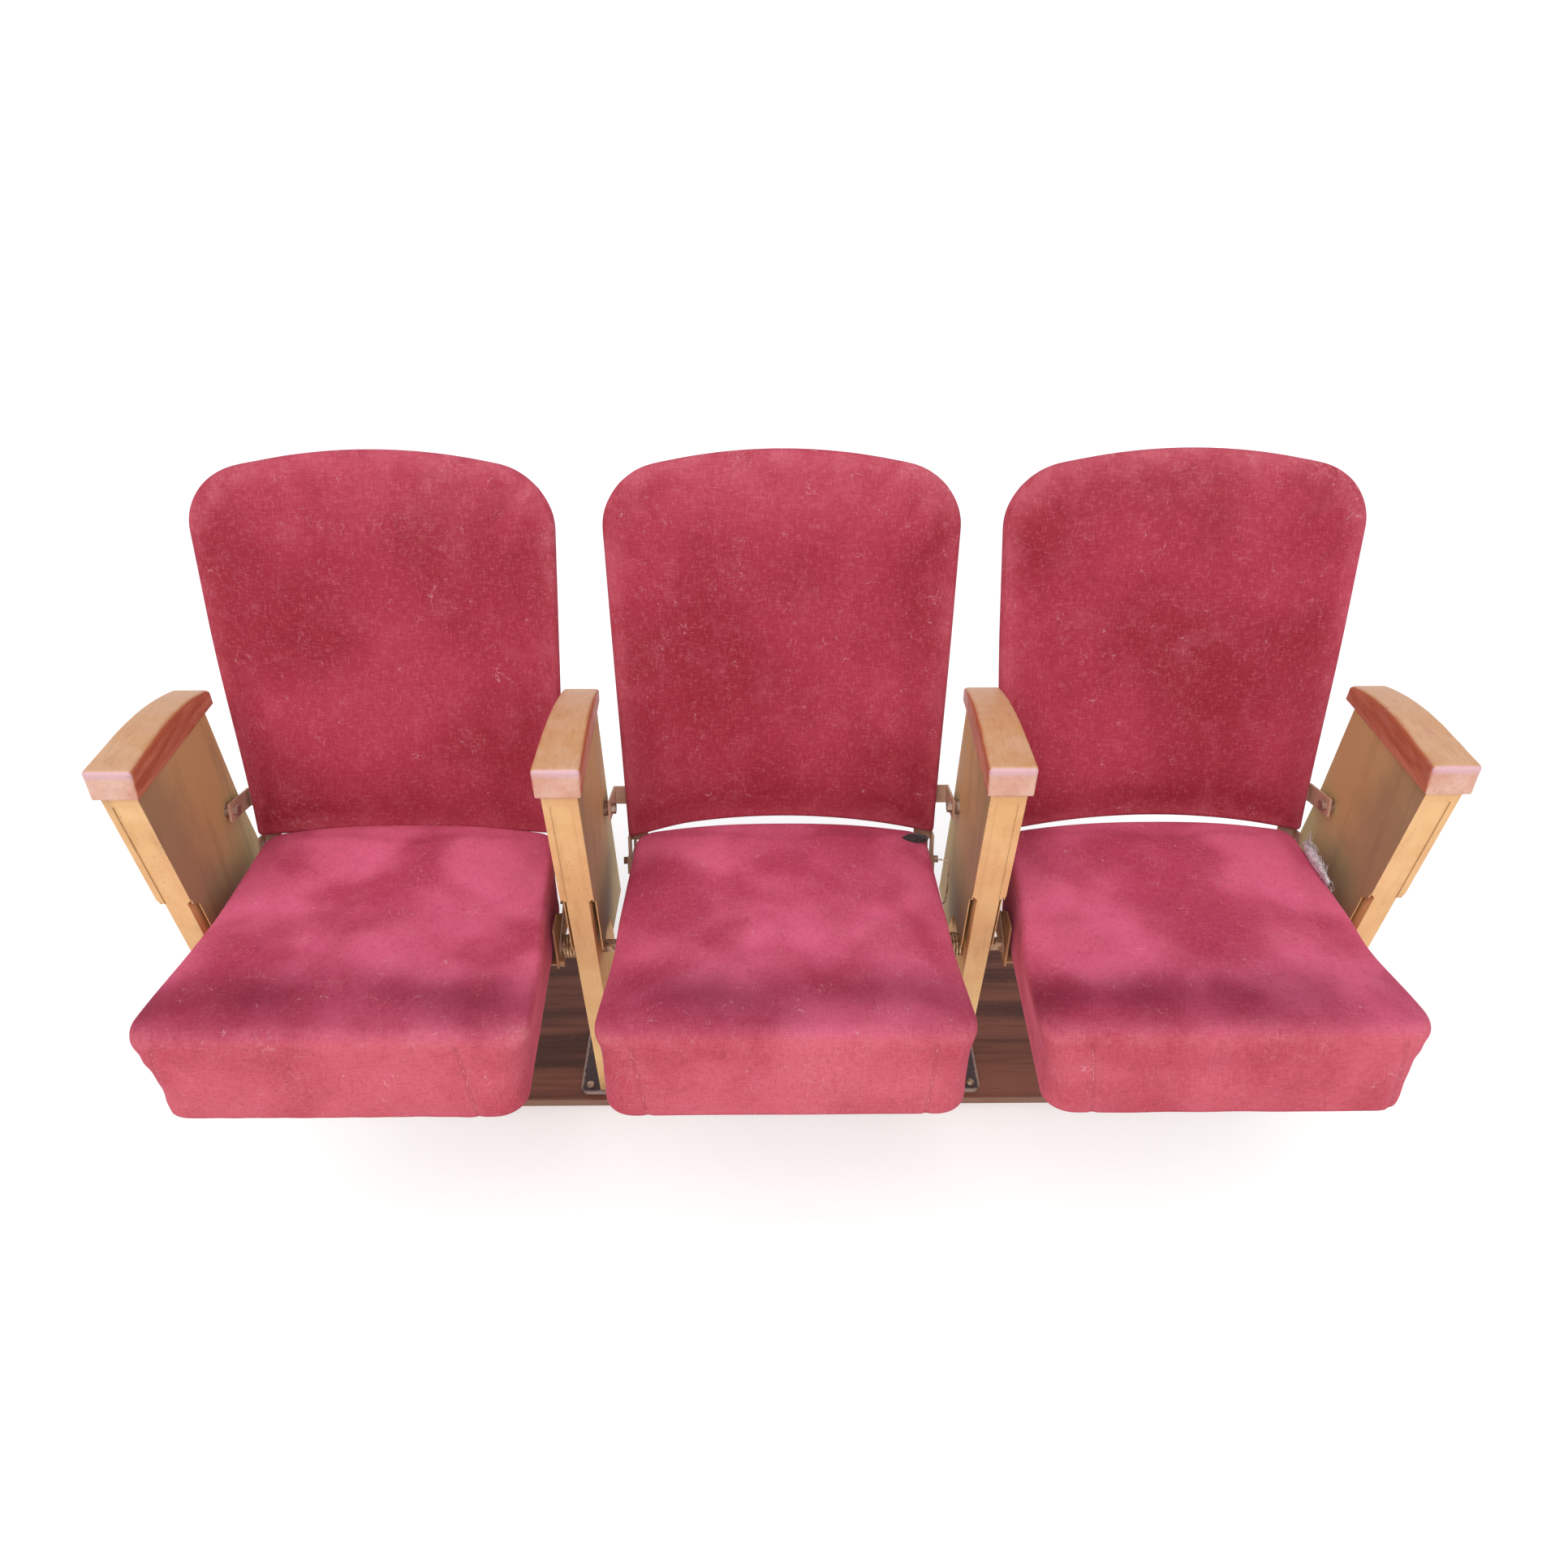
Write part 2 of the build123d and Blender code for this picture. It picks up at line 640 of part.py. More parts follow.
def make_iron(x, side, half):
    """Bent iron behind the shell: plate, tongue with bolt tab, blade to the hinge."""
    casing_face = half - casing_width / 2
    tab_out = casing_face - spacer_length
    tab_in = tab_out - iron_sheet
    behind = back_plane(x, -iron_back)
    with BuildPart() as iron:
        plate_in = side * (back_foot_half - iron_plate_lap)
        plate_top = iron_plate_height - iron_plate_drop
        bar(behind, plate_in, side * wing_out, -iron_plate_drop, plate_top, iron_sheet)
        bar(behind, plate_in, side * tab_out, band_low, band_high, iron_sheet)
        tab_reach = iron_back + tab_bolt_forward + tab_nose
        bar(behind, side * tab_in, side * tab_out, band_low, band_high, tab_reach)
        blade_top = -shell_lip - blade_relief
        bar(behind, side * blade_in, side * wing_out, -blade_length, blade_top, blade_width)
        with BuildSketch(behind):
            with Locations(*[(side * iron_screw_x, up) for up in iron_screw_ups]):
                Circle(iron_screw_hole / 2)
        extrude(amount=iron_sheet, mode=Mode.SUBTRACT)
        bolt_hole = bolt_diameter + 2 * bolt_clearance
        rod(x + side * tab_in, x + side * tab_out, bolt_y, bolt_z, bolt_hole, Mode.SUBTRACT)
        clevis_hole = clevis_bolt_diameter + 2 * screw_clearance
        hole_from = x + side * blade_in
        rod(hole_from, x + side * wing_out, clevis_bolt_y, clevis_bolt_z, clevis_hole, Mode.SUBTRACT)
    return iron


def make_wing(x, side):
    """Fixed hinge plate from the pivot to the blade, with its clevis and stop stud."""
    behind = back_plane(x, -iron_back)
    clevis_low = -(blade_length + clevis_base)
    clevis_high = -(blade_length - clevis_overlap)
    with BuildPart() as wing:
        plate_x = x + side * wing_in if side > 0 else x - wing_out
        with BuildSketch(across(plate_x)) as link:
            with Locations((pivot_y, pivot_height)):
                Circle(wing_eye)
            with Locations((wing_y, wing_z)):
                Circle(wing_end)
            make_hull()
        extrude(link.sketch, amount=wing_sheet)
        bar(behind, side * clevis_in, side * clevis_out, clevis_low, clevis_high, blade_width)
        slot_low = -(blade_length + coil_clearance)
        bar(behind, side * blade_in, side * wing_out, slot_low, 0, blade_width, Mode.SUBTRACT)
        hoop_back = back_plane(x, -(hoop_setback + hoop_width))
        leaf_depth = hoop_setback + hoop_width - iron_back
        bar(hoop_back, side * clevis_in, side * blade_in, clevis_low, clevis_high, leaf_depth)
        stop_y, stop_z = along_wing(stop_along, 0)
        stop_in = x + side * (arm_plate_half - 2 * arm_plate_sheet)
        rod(stop_in, x + side * wing_in, stop_y, stop_z, stop_diameter)
        rod(x + side * wing_in, x + side * wing_out, pivot_y, pivot_height, nose_hole, Mode.SUBTRACT)
        clevis_hole = clevis_bolt_diameter + 2 * screw_clearance
        hole_from = x + side * clevis_in
        hole_to = x + side * clevis_out
        rod(hole_from, hole_to, clevis_bolt_y, clevis_bolt_z, clevis_hole, Mode.SUBTRACT)
    return wing


def hoop_edge(inside):
    """Half width, corner radius, corner height and corner bend of one edge of the band."""
    reach = clevis_in - inside
    radius = hoop_corner_radius - inside
    level = hoop_corner_height - inside
    bend = radius * (1 - sqrt(0.5))
    return reach, radius, level, bend


def make_hoop(x):
    """Flat band behind the back's foot, bent down at both ends to the wings."""
    with BuildPart() as hoop:
        with BuildSketch(back_plane(x, -(hoop_setback + hoop_width))) as band:
            for inside, mode in ((0, Mode.ADD), (hoop_sheet, Mode.SUBTRACT)):
                reach, radius, level, bend = hoop_edge(inside)
                with BuildLine():
                    Line((-reach, -hoop_tail - inside), (-reach, level - radius))
                    left = (-reach + bend, level - bend)
                    ThreePointArc((-reach, level - radius), left, (-reach + radius, level))
                    top = (0, level + hoop_arch)
                    ThreePointArc((-reach + radius, level), top, (reach - radius, level))
                    right = (reach - bend, level - bend)
                    ThreePointArc((reach - radius, level), right, (reach, level - radius))
                    Line((reach, level - radius), (reach, -hoop_tail - inside))
                    Line((reach, -hoop_tail - inside), (-reach, -hoop_tail - inside))
                make_face(mode=mode)
        extrude(band.sketch, amount=hoop_width)
    return hoop


for number, x, half in seats:
    write(make_shell(x), f"back_shell_{number}")
    write(make_pad(x), f"back_pad_{number}")
    write(make_hoop(x), f"back_hoop_{number}")
    for name, side in sides:
        write(make_iron(x, side, half), f"back_iron_{name}_{number}")
        write(make_wing(x, side), f"hinge_wing_{name}_{number}")

with BuildPart() as iron_screws:
    for number, x, half in seats:
        with BuildSketch(back_plane(x, -iron_back)):
            with Locations(*iron_screw_spots):
                Circle(iron_screw_head / 2)
        extrude(amount=-iron_screw_head_height)
        with BuildSketch(back_plane(x, -iron_back)):
            with Locations(*iron_screw_spots):
                Circle(iron_screw_diameter / 2)
        extrude(amount=iron_screw_length)
write(iron_screws, "iron_screws")

with BuildPart() as back_bolts:
    for number, x, half in seats:
        for name, side in sides:
            casing_face = half - casing_width / 2
            tab_in = casing_face - spacer_length - iron_sheet
            head_x = x + side * tab_in if side < 0 else x + tab_in - bolt_head_height
            with BuildSketch(across(head_x)):
                with Locations((bolt_y, bolt_z)):
                    RegularPolygon(bolt_head / 2, 6, major_radius=False)
            extrude(amount=bolt_head_height)
            bolt_end = x + side * (casing_face + casing_sheet + bolt_grip)
            rod(x + side * tab_in, bolt_end, bolt_y, bolt_z, bolt_diameter)
write(back_bolts, "back_bolts")

with BuildPart() as back_spacers:
    for number, x, half in seats:
        for name, side in sides:
            face_x = x + side * (half - casing_width / 2)
            tab_x = face_x - side * spacer_length
            rod(face_x, tab_x, bolt_y, bolt_z, spacer_diameter)
            bore = bolt_diameter + 2 * bolt_clearance
            rod(face_x, tab_x, bolt_y, bolt_z, bore, Mode.SUBTRACT)
write(back_spacers, "back_spacers")

with BuildPart() as clevis_bolts:
    for number, x, half in seats:
        for name, side in sides:
            outer = x + side * clevis_out
            inner = x + side * clevis_in
            knob = outer + side * clevis_bolt_head_height
            rod(outer, knob, clevis_bolt_y, clevis_bolt_z, clevis_bolt_head)
            rod(inner, outer, clevis_bolt_y, clevis_bolt_z, clevis_bolt_diameter)
            nut = inner - side * clevis_nut_height
            rod(nut, inner, clevis_bolt_y, clevis_bolt_z, clevis_bolt_head)
write(clevis_bolts, "clevis_bolts")


# ---------------------------------------------------------------- pivots
def make_pivot(x, side, half, round_shank):
    """Fixed journal: spigot in the leg, shank to the wing, nose through wing and bush."""
    wall = x + side * (half - leg_width / 2)
    shoulder = x + side * wing_out
    with BuildPart() as pivot:
        if round_shank:
            rod(shoulder, wall, pivot_y, pivot_height, pin_shank)
        else:
            with BuildSketch(across(min(shoulder, wall))) as block:
                with Locations((pivot_y, pivot_height)):
                    Rectangle(stub_side, stub_side)
                chamfer(block.vertices(), stub_chamfer)
            extrude(block.sketch, amount=abs(wall - shoulder))
        nose_end = x + side * (arm_plate_half - pin_end)
        rod(nose_end, shoulder, pivot_y, pivot_height, pin_nose)
        rod(wall, wall + side * spigot_length, pivot_y, pivot_height, spigot_diameter)
    return pivot


def make_bushes(x):
    """Two flanged bushes pressed into the seat's arms."""
    with BuildPart() as bushes:
        for name, side in sides:
            arm_in = x + side * (arm_plate_half - arm_plate_sheet)
            flange_in = arm_in - side * bush_flange_sheet
            bush_end = x + side * (arm_plate_half + side_clearance / 2)
            rod(flange_in, arm_in, pivot_y, pivot_height, bush_flange)
            rod(arm_in, bush_end, pivot_y, pivot_height, bush_outer)
            rod(flange_in, bush_end, pivot_y, pivot_height, bush_bore, Mode.SUBTRACT)
    return bushes


# ---------------------------------------------------------------- springs
def biarc(start, start_dir, end, end_dir):
    """Two arcs from start to end that meet in line, given both end directions."""
    chord = end - start
    total = start_dir + end_dir
    spread = 2 * (1 - start_dir.dot(end_dir))
    reach = chord.dot(total)
    arm = (sqrt(reach * reach + spread * chord.dot(chord)) - reach) / spread
    first = start + start_dir * arm
    second = end - end_dir * arm
    middle = (first + second) * 0.5
    TangentArc(start, middle, tangent=start_dir)
    TangentArc(middle, end, tangent=second - first)


def coil_station(x_start, x_end, turns, quarter):
    """Point and direction on the coil after a number of quarter turns."""
    steps = 4 * turns
    rise = (x_end - x_start) / (steps - 2 * (1 - coil_ease))
    angle = quarter * pi / 2
    climb = 0.0
    if quarter > 0:
        climb = coil_ease + (quarter - 1)
    if quarter == steps:
        climb = steps - 2 * (1 - coil_ease)
    slope = 0.0 if quarter in (0, steps) else rise
    point = Vector(
        x_start + rise * climb,
        pivot_y - coil_radius * sin(angle),
        pivot_height - coil_radius * cos(angle),
    )
    quarter_arc = coil_radius * pi / 2
    direction = Vector(slope, -quarter_arc * cos(angle), quarter_arc * sin(angle))
    return point, direction.normalized()


def make_spring(x, turns):
    """Torsion spring round the pin: tail from the leg's lug, coil, tail to the arm's tab."""
    x_start = x + spring_start + turns * coil_pitch
    x_end = x + spring_start
    forward = Vector(0, -1, 0)
    low = pivot_height - coil_radius
    with BuildPart() as spring:
        with BuildLine() as path:
            Line((x_start, pivot_y + spring_tail, low), (x_start, pivot_y, low))
            for quarter in range(4 * turns):
                here, here_dir = coil_station(x_start, x_end, turns, quarter)
                there, there_dir = coil_station(x_start, x_end, turns, quarter + 1)
                biarc(here, here_dir, there, there_dir)
            Line((x_end, pivot_y, low), (x_end, pivot_y - spring_tail, low))
        with BuildSketch(Plane(origin=path.line @ 0, x_dir=(1, 0, 0), z_dir=forward)):
            Circle(wire / 2)
        sweep()
    return spring, path.wire()


def least_self_gap(line):
    """Smallest clear distance between stretches of wire over half a turn apart."""
    count = int(line.length / (wire / 4))
    points = [line.position_at(step / count) for step in range(count + 1)]
    skip = int(pi * coil_radius / (line.length / count))
    least = line.length
    for first in range(count + 1 - skip):
        for second in range(first + skip, min(first + 3 * skip, count + 1)):
            least = min(least, (points[first] - points[second]).length)
    return least - wire


for number, x, half in seats:
    write(make_pivot(x, -1, half, False), f"pivot_stub_{number}")
    write(make_pivot(x, 1, half, True), f"pivot_pin_{number}")
    write(make_bushes(x), f"hinge_bushes_{number}")
    seat_spring, wire_line = make_spring(x, coil_turns[number])
    expected = pi * wire * wire / 4 * wire_line.length
    print(f"spring {number}: {coil_turns[number]} turns, self gap {least_self_gap(wire_line):.2f}")
    print(f"spring {number}: volume {seat_spring.part.volume:.0f}, section by length {expected:.0f}")
    write(seat_spring, f"seat_spring_{number}")


# ---------------------------------------------------------------- seats
def seat_section(x, height, draw, front, rear):
    """Rounded trapezoid of a cushion at a height, its sides drawn in by draw."""
    with BuildSketch(seat_plane(x, height)) as section:
        taper = cushion_flare / (cushion_length - cushion_front_lean)
        front_half = cushion_front_half + (cushion_front_lean - front) * taper - draw
        rear_half = cushion_rear_half + (cushion_length - rear) * taper - draw
        with BuildLine():
            corners = [(-front_half, front), (front_half, front), (rear_half, rear), (-rear_half, rear)]
            Polyline(*corners, close=True)
        make_face()
        fillet(section.vertices(), cushion_corner_radius)
    return section.sketch


def make_cushion(x):
    """Upholstered cushion: foot, drawn-in waist, full shoulder and crowned top."""
    waist_rear = cushion_length - cushion_rear_round
    lean = cushion_front_lean
    low_draw = (cushion_foot_draw + cushion_waist_draw) / 2
    stations = [
        (0, cushion_foot_draw, cushion_foot_round, waist_rear - cushion_rear_round),
        (cushion_height * 0.05, low_draw, cushion_foot_round / 3, waist_rear),
        (cushion_height * 0.16, cushion_waist_draw, 0, waist_rear),
        (cushion_height * 0.55, cushion_waist_draw, lean * 0.30, waist_rear),
        (cushion_height * 0.68, cushion_waist_draw / 2, lean * 0.36, waist_rear + cushion_rear_round / 2),
        (cushion_height * 0.80, 0, lean * 0.50, cushion_length),
        (cushion_height * 0.90, 0, lean * 0.70, cushion_length),
    ]
    for turn in crown_turns:
        height = cushion_height + cushion_crown * sin(turn)
        inset = cushion_edge_round + (cushion_top_flat - cushion_edge_round) * (1 - cos(turn))
        stations.append((height, inset, lean + inset, cushion_length - inset))
    with BuildPart() as cushion:
        loft([seat_section(x, *station) for station in stations], ruled=True)
    return cushion


def make_pan(x):
    """Pressed steel pan under the cushion with its two welded hinge arms."""
    rear = cushion_length - 2 * cushion_rear_round
    arm_front = spring_tail + coil_clearance + lug_sheet + arm_plate_toe
    arm_below = coil_radius + lug_height / 2 + arm_plate_foot
    arm_rear = stop_along + arm_plate_heel
    heel_line = -(stop_diameter / 2 + stop_gap)
    with BuildPart() as pan:
        inset = cushion_foot_draw + pan_inset
        front = cushion_foot_round + pan_inset
        extrude(seat_section(x, 0, inset, front, rear - pan_inset), amount=-pan_depth)
        inner = pan_inset + pan_sheet
        hollow = seat_section(x, -pan_sheet, inset + pan_sheet, front + pan_sheet, rear - inner)
        extrude(hollow, amount=-pan_depth, mode=Mode.SUBTRACT)
        foot = seat_plane(x, -pan_depth)
        for name, side in sides:
            outer = side * arm_plate_half
            inner = side * (arm_plate_half - arm_plate_sheet)
            foot_in = side * (cushion_rear_half - inset - pan_lap)
            foot_from = seat_forward - arm_front
            foot_to = seat_forward + run_y * arm_rear
            bar(foot, foot_in, outer, foot_from, foot_to, -arm_plate_sheet)
            plate = [
                (pivot_y - arm_front, pivot_height - arm_below),
                (pivot_y - arm_front, pivot_height + arm_plate_above),
                (pivot_y + arm_plate_shoulder, pivot_height + arm_plate_above),
                along_wing(stop_along - 2 * stop_diameter, heel_line),
                along_wing(arm_rear, heel_line),
                (pivot_y + run_y * arm_rear, pivot_height - arm_below),
            ]
            slab(x + inner, x + outer, plate)
            rod(x + inner, x + outer, pivot_y, pivot_height, bush_outer, Mode.SUBTRACT)
        tab_y = pivot_y - spring_tail - coil_clearance
        tab_z = pivot_height - coil_radius - lug_height / 2
        tab = [
            (tab_y, tab_z),
            (tab_y, tab_z + lug_height),
            (tab_y - lug_sheet, tab_z + lug_height),
            (tab_y - lug_sheet, tab_z),
        ]
        slab(x + arm_plate_half, x + spring_start + wire / 2 + coil_clearance, tab)
    return pan


for number, x, half in seats:
    write(make_cushion(x), f"seat_cushion_{number}")
    write(make_pan(x), f"seat_pan_{number}")
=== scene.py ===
import json
import math

import bmesh
import bpy
import numpy as np
from mathutils import Euler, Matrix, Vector


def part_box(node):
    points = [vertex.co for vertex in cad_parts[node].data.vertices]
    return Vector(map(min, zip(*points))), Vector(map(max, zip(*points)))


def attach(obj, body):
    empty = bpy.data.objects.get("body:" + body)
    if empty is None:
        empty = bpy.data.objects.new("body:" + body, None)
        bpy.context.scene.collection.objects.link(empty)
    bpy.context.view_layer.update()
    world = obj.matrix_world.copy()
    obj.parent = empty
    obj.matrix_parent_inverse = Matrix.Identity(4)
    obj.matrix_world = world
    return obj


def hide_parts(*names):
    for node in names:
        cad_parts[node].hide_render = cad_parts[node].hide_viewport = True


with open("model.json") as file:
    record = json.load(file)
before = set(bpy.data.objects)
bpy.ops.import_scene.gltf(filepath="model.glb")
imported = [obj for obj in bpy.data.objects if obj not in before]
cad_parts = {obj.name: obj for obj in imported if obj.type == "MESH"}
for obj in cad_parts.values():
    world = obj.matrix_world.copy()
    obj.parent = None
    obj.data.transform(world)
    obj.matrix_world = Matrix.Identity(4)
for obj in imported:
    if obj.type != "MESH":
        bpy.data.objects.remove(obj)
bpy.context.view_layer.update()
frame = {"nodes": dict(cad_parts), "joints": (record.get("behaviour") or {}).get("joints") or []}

# Dressed row of three tip-up auditorium seats: worn crimson velvet, varnished
# armrests, painted sheet-steel standards and a veneered floor board.
# Metres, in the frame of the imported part: X along the row, +Y to the rear, +Z up.

MM = 0.001
SEATS = (1, 2, 3)
STANDARDS = (1, 2, 3, 4)
SIDES = ("left", "right")
PIVOTS = {number: joint["pos_m"] for number, joint in zip(SEATS, frame["joints"])}
BOARD_LOW, BOARD_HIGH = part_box("base_board")
ARM_BOXES = {index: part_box(f"armrest_{index}") for index in STANDARDS}
ARM_FRONT_Y = ARM_BOXES[1][0].y
STANDARD_X = [(low.x + high.x) / 2 for low, high in ARM_BOXES.values()]
# The legs' foot plates: half their width, their front edge and their top.
FOOT_HALF = 0.0445
FOOT_FRONT_Y = -0.1635
FOOT_TOP = BOARD_HIGH.z + 0.005


# ---------------------------------------------------------------- shader maths
class Value:
    """A shader socket; Python's operators on numbers add Math nodes."""

    def __init__(self, web, socket):
        self.web = web
        self.socket = socket

    def _math(self, operation, first, second=0.0):
        return self.web.node("ShaderNodeMath", {"operation": operation}, [first, second])

    def __add__(self, other):
        return self._math("ADD", self, other)

    def __sub__(self, other):
        return self._math("SUBTRACT", self, other)

    def __mul__(self, other):
        return self._math("MULTIPLY", self, other)

    def __radd__(self, other):
        return self._math("ADD", other, self)

    def __rsub__(self, other):
        return self._math("SUBTRACT", other, self)

    def __rmul__(self, other):
        return self._math("MULTIPLY", other, self)

    def least(self, other):
        return self._math("MINIMUM", self, other)

    def most(self, other):
        return self._math("MAXIMUM", self, other)

    def absolute(self):
        return self._math("ABSOLUTE", self)

    def ramp(self, low, high):
        """Smooth step of this value: 0 at low, 1 at high."""
        inputs = {"Value": self, "From Min": low, "From Max": high, "To Min": 0.0, "To Max": 1.0}
        return self.web.node("ShaderNodeMapRange", {"interpolation_type": "SMOOTHSTEP"}, inputs)


def linear(colour):
    """Linear RGBA of an sRGB colour given as 0-255 numbers."""
    part = np.array(colour, float) / 255
    part = np.where(part <= 0.04045, part / 12.92, ((part + 0.055) / 1.055) ** 2.4)
    return (*part, 1.0)


class Web:
    """A node tree whose nodes are all added by one method."""

    def __init__(self, tree):
        self.tree = tree

    def put(self, socket, value):
        """Links a socket or sets its number, colour or vector."""
        if isinstance(value, Value):
            self.tree.links.new(value.socket, socket)
        else:
            socket.default_value = value

    def node(self, kind, settings=(), inputs=(), output=0):
        """Adds any node: settings first, then inputs by name or place; gives one output."""
        made = self.tree.nodes.new(kind)
        for key, value in dict(settings).items():
            setattr(made, key, value)
        pairs = inputs.items() if isinstance(inputs, dict) else enumerate(inputs)
        for key, value in pairs:
            self.put(made.inputs[key], value)
        return Value(self, made.outputs[output])

    def mix(self, share, first, second):
        """Colour mix: share 0 gives first, 1 gives second; a triple is an sRGB colour."""
        first, second = (linear(side) if isinstance(side, tuple) else side for side in (first, second))
        return self.node("ShaderNodeMix", {"data_type": "RGBA"}, {0: share, 6: first, 7: second}, 2)


class Finish(Web):
    """One material on object coordinates, ending in a Principled shader."""

    def __init__(self, name):
        self.material = bpy.data.materials.new(name)
        self.material.use_nodes = True
        super().__init__(self.material.node_tree)
        self.shader = self.tree.nodes["Principled BSDF"]
        self.here = self.node("ShaderNodeTexCoord", {}, (), "Object")

    def place(self, scale=(1, 1, 1), turn=(0, 0, 0), shift=(0, 0, 0)):
        """Object coordinates after a Mapping node."""
        inputs = {"Vector": self.here, "Scale": scale, "Rotation": turn, "Location": shift}
        return self.node("ShaderNodeMapping", {}, inputs)

    def noise(self, scale, detail=3.0, rough=0.5, at=None, distort=0.0):
        """Fractal noise, 0..1, on object coordinates or the vector given."""
        inputs = {
            "Vector": at or self.here, "Scale": scale, "Detail": detail, "Roughness": rough,
            "Distortion": distort,
        }
        return self.node("ShaderNodeTexNoise", {}, inputs, "Fac")

    def specks(self, scale, radius, at=None):
        """1 inside small round specks scattered about, else 0."""
        inputs = {"Vector": at or self.here, "Scale": scale}
        return self.node("ShaderNodeTexVoronoi", {}, inputs, "Distance").ramp(radius, radius * 0.5)

    def attribute(self, name):
        """A number painted on the mesh's points."""
        return self.node("ShaderNodeAttribute", {"attribute_name": name}, (), "Fac")

    def axis(self, letter, of=None):
        """One object coordinate in metres, or one part of the vector given."""
        return self.node("ShaderNodeSeparateXYZ", {}, [of or self.here], letter)

    def finish(self, colour, roughness, bump, strength=0.3, distance=0.001, **fixed):
        """Feeds the shader: colour, roughness, a bump height and fixed settings."""
        self.put(self.shader.inputs["Base Color"], colour)
        self.put(self.shader.inputs["Roughness"], roughness)
        for key, value in fixed.items():
            self.put(self.shader.inputs[key.replace("_", " ")], value)
        inputs = {"Height": bump, "Strength": strength, "Distance": distance}
        self.put(self.shader.inputs["Normal"], self.node("ShaderNodeBump", {}, inputs, "Normal"))
        return self.material


# ---------------------------------------------------------------- finishes
def velvet(name, upright, face_nap_and_sky_sheen, turn, scale):
    """Cut pile: wall and face nap each drift between two colours in soft patches; the faces' pair is
    pinker with painted sky sheen and their patches are partly painted dappled light. Fine brushed
    grain, rims rubbed pale and partly painted with a highlight, dusty clusters, seams with a painted
    shaded crease and pale stitching partly painted as a highlight, faint curly lint where a noise
    crosses its middle value, pinpoint fluff, and painted shade where the points ask for it."""
    cloth = Finish(name)
    at = cloth.place(turn=turn)
    # Soft patches: the pile's own patchiness and, strongest on the seats' faces, painted dappled light.
    drift = cloth.noise(scale, 2.0, 0.45, at, 0.25).ramp(0.34, 0.68)
    crush = cloth.noise(24.0, 4.0, 0.6, at, 0.4)
    across = cloth.noise(520.0, 2.0, 0.6, cloth.place(scale=(0.22, 1.0, 1.0)))
    along = cloth.noise(520.0, 2.0, 0.6, cloth.place(scale=(1.0, 0.22, 0.22)))
    grain = (across + along) * 0.5
    # Painted light in part: the faces' colours are pinker and more purple than the walls' as painted sky
    # sheen, besides the nap's own lie.
    face_nap_and_sky_sheen, upright = cloth.mix(drift, *face_nap_and_sky_sheen), cloth.mix(drift, *upright)
    colour = cloth.mix(cloth.attribute("upright"), face_nap_and_sky_sheen, upright)
    colour = cloth.mix(crush.ramp(0.48, 0.76) * 0.20, colour, (208, 104, 126))
    colour = cloth.mix(crush.ramp(0.46, 0.24) * 0.16, colour, (120, 30, 50))
    # Pale pile on rims, rolls and front walls: partly rubbed wear, partly a painted highlight.
    worn = cloth.attribute("worn")
    colour = cloth.mix(worn * (0.4 + crush.ramp(0.34, 0.62) * 0.6) * 0.55, colour, (222, 122, 134))
    dust = cloth.noise(9.0, 2.0, 0.5, at).ramp(0.56, 0.72) * cloth.noise(210.0, 4.0, 0.7).ramp(0.50, 0.66)
    colour = cloth.mix(dust * (0.12 + worn * 0.5), colour, (222, 160, 160))
    colour = cloth.mix(grain.ramp(0.51, 0.64) * 0.22, colour, (226, 128, 146))
    colour = cloth.mix(grain.ramp(0.48, 0.38) * 0.18, colour, (96, 18, 36))
    colour = cloth.mix(cloth.attribute("shade") * 0.6, colour, (86, 18, 36))
    seam = cloth.attribute("seam")
    pale_thread_and_highlight = seam.ramp(0.0011, 0.0004) * cloth.noise(400.0, 1.0).ramp(0.42, 0.58)
    # Painted shade: the seam's groove is darkened along its line; the pale stitching beside it is partly a
    # painted highlight on the groove's lip.
    colour = cloth.mix(seam.ramp(0.0040, 0.0010) * 0.30, colour, (158, 52, 66))
    colour = cloth.mix(pale_thread_and_highlight * 0.6, colour, (236, 172, 164))
    curl = (cloth.noise(64.0, 1.0, 0.4, None, 0.9) - 0.5).absolute().ramp(0.008, 0.003)
    curl = curl * cloth.noise(43.0, 1.0, 0.5, cloth.place(shift=(3.0, 1.0, 2.0))).ramp(0.56, 0.62)
    fluff = cloth.specks(46.0, 0.040) * cloth.noise(11.0, 1.0).ramp(0.54, 0.62)
    colour = cloth.mix((curl * 0.32 + fluff * 0.60).least(0.8), colour, (232, 178, 182))
    height = grain * 0.8 + crush * 0.6 + cloth.noise(1300.0, 1.0) * 0.35 - seam.ramp(0.0022, 0.0) * 1.0
    return cloth.finish(
        colour, 0.86 + crush * 0.12, height, 0.30, 0.0009,
        Sheen_Weight=0.40, Sheen_Roughness=0.34, Sheen_Tint=linear((255, 140, 176)), Specular_IOR_Level=0.08,
    )


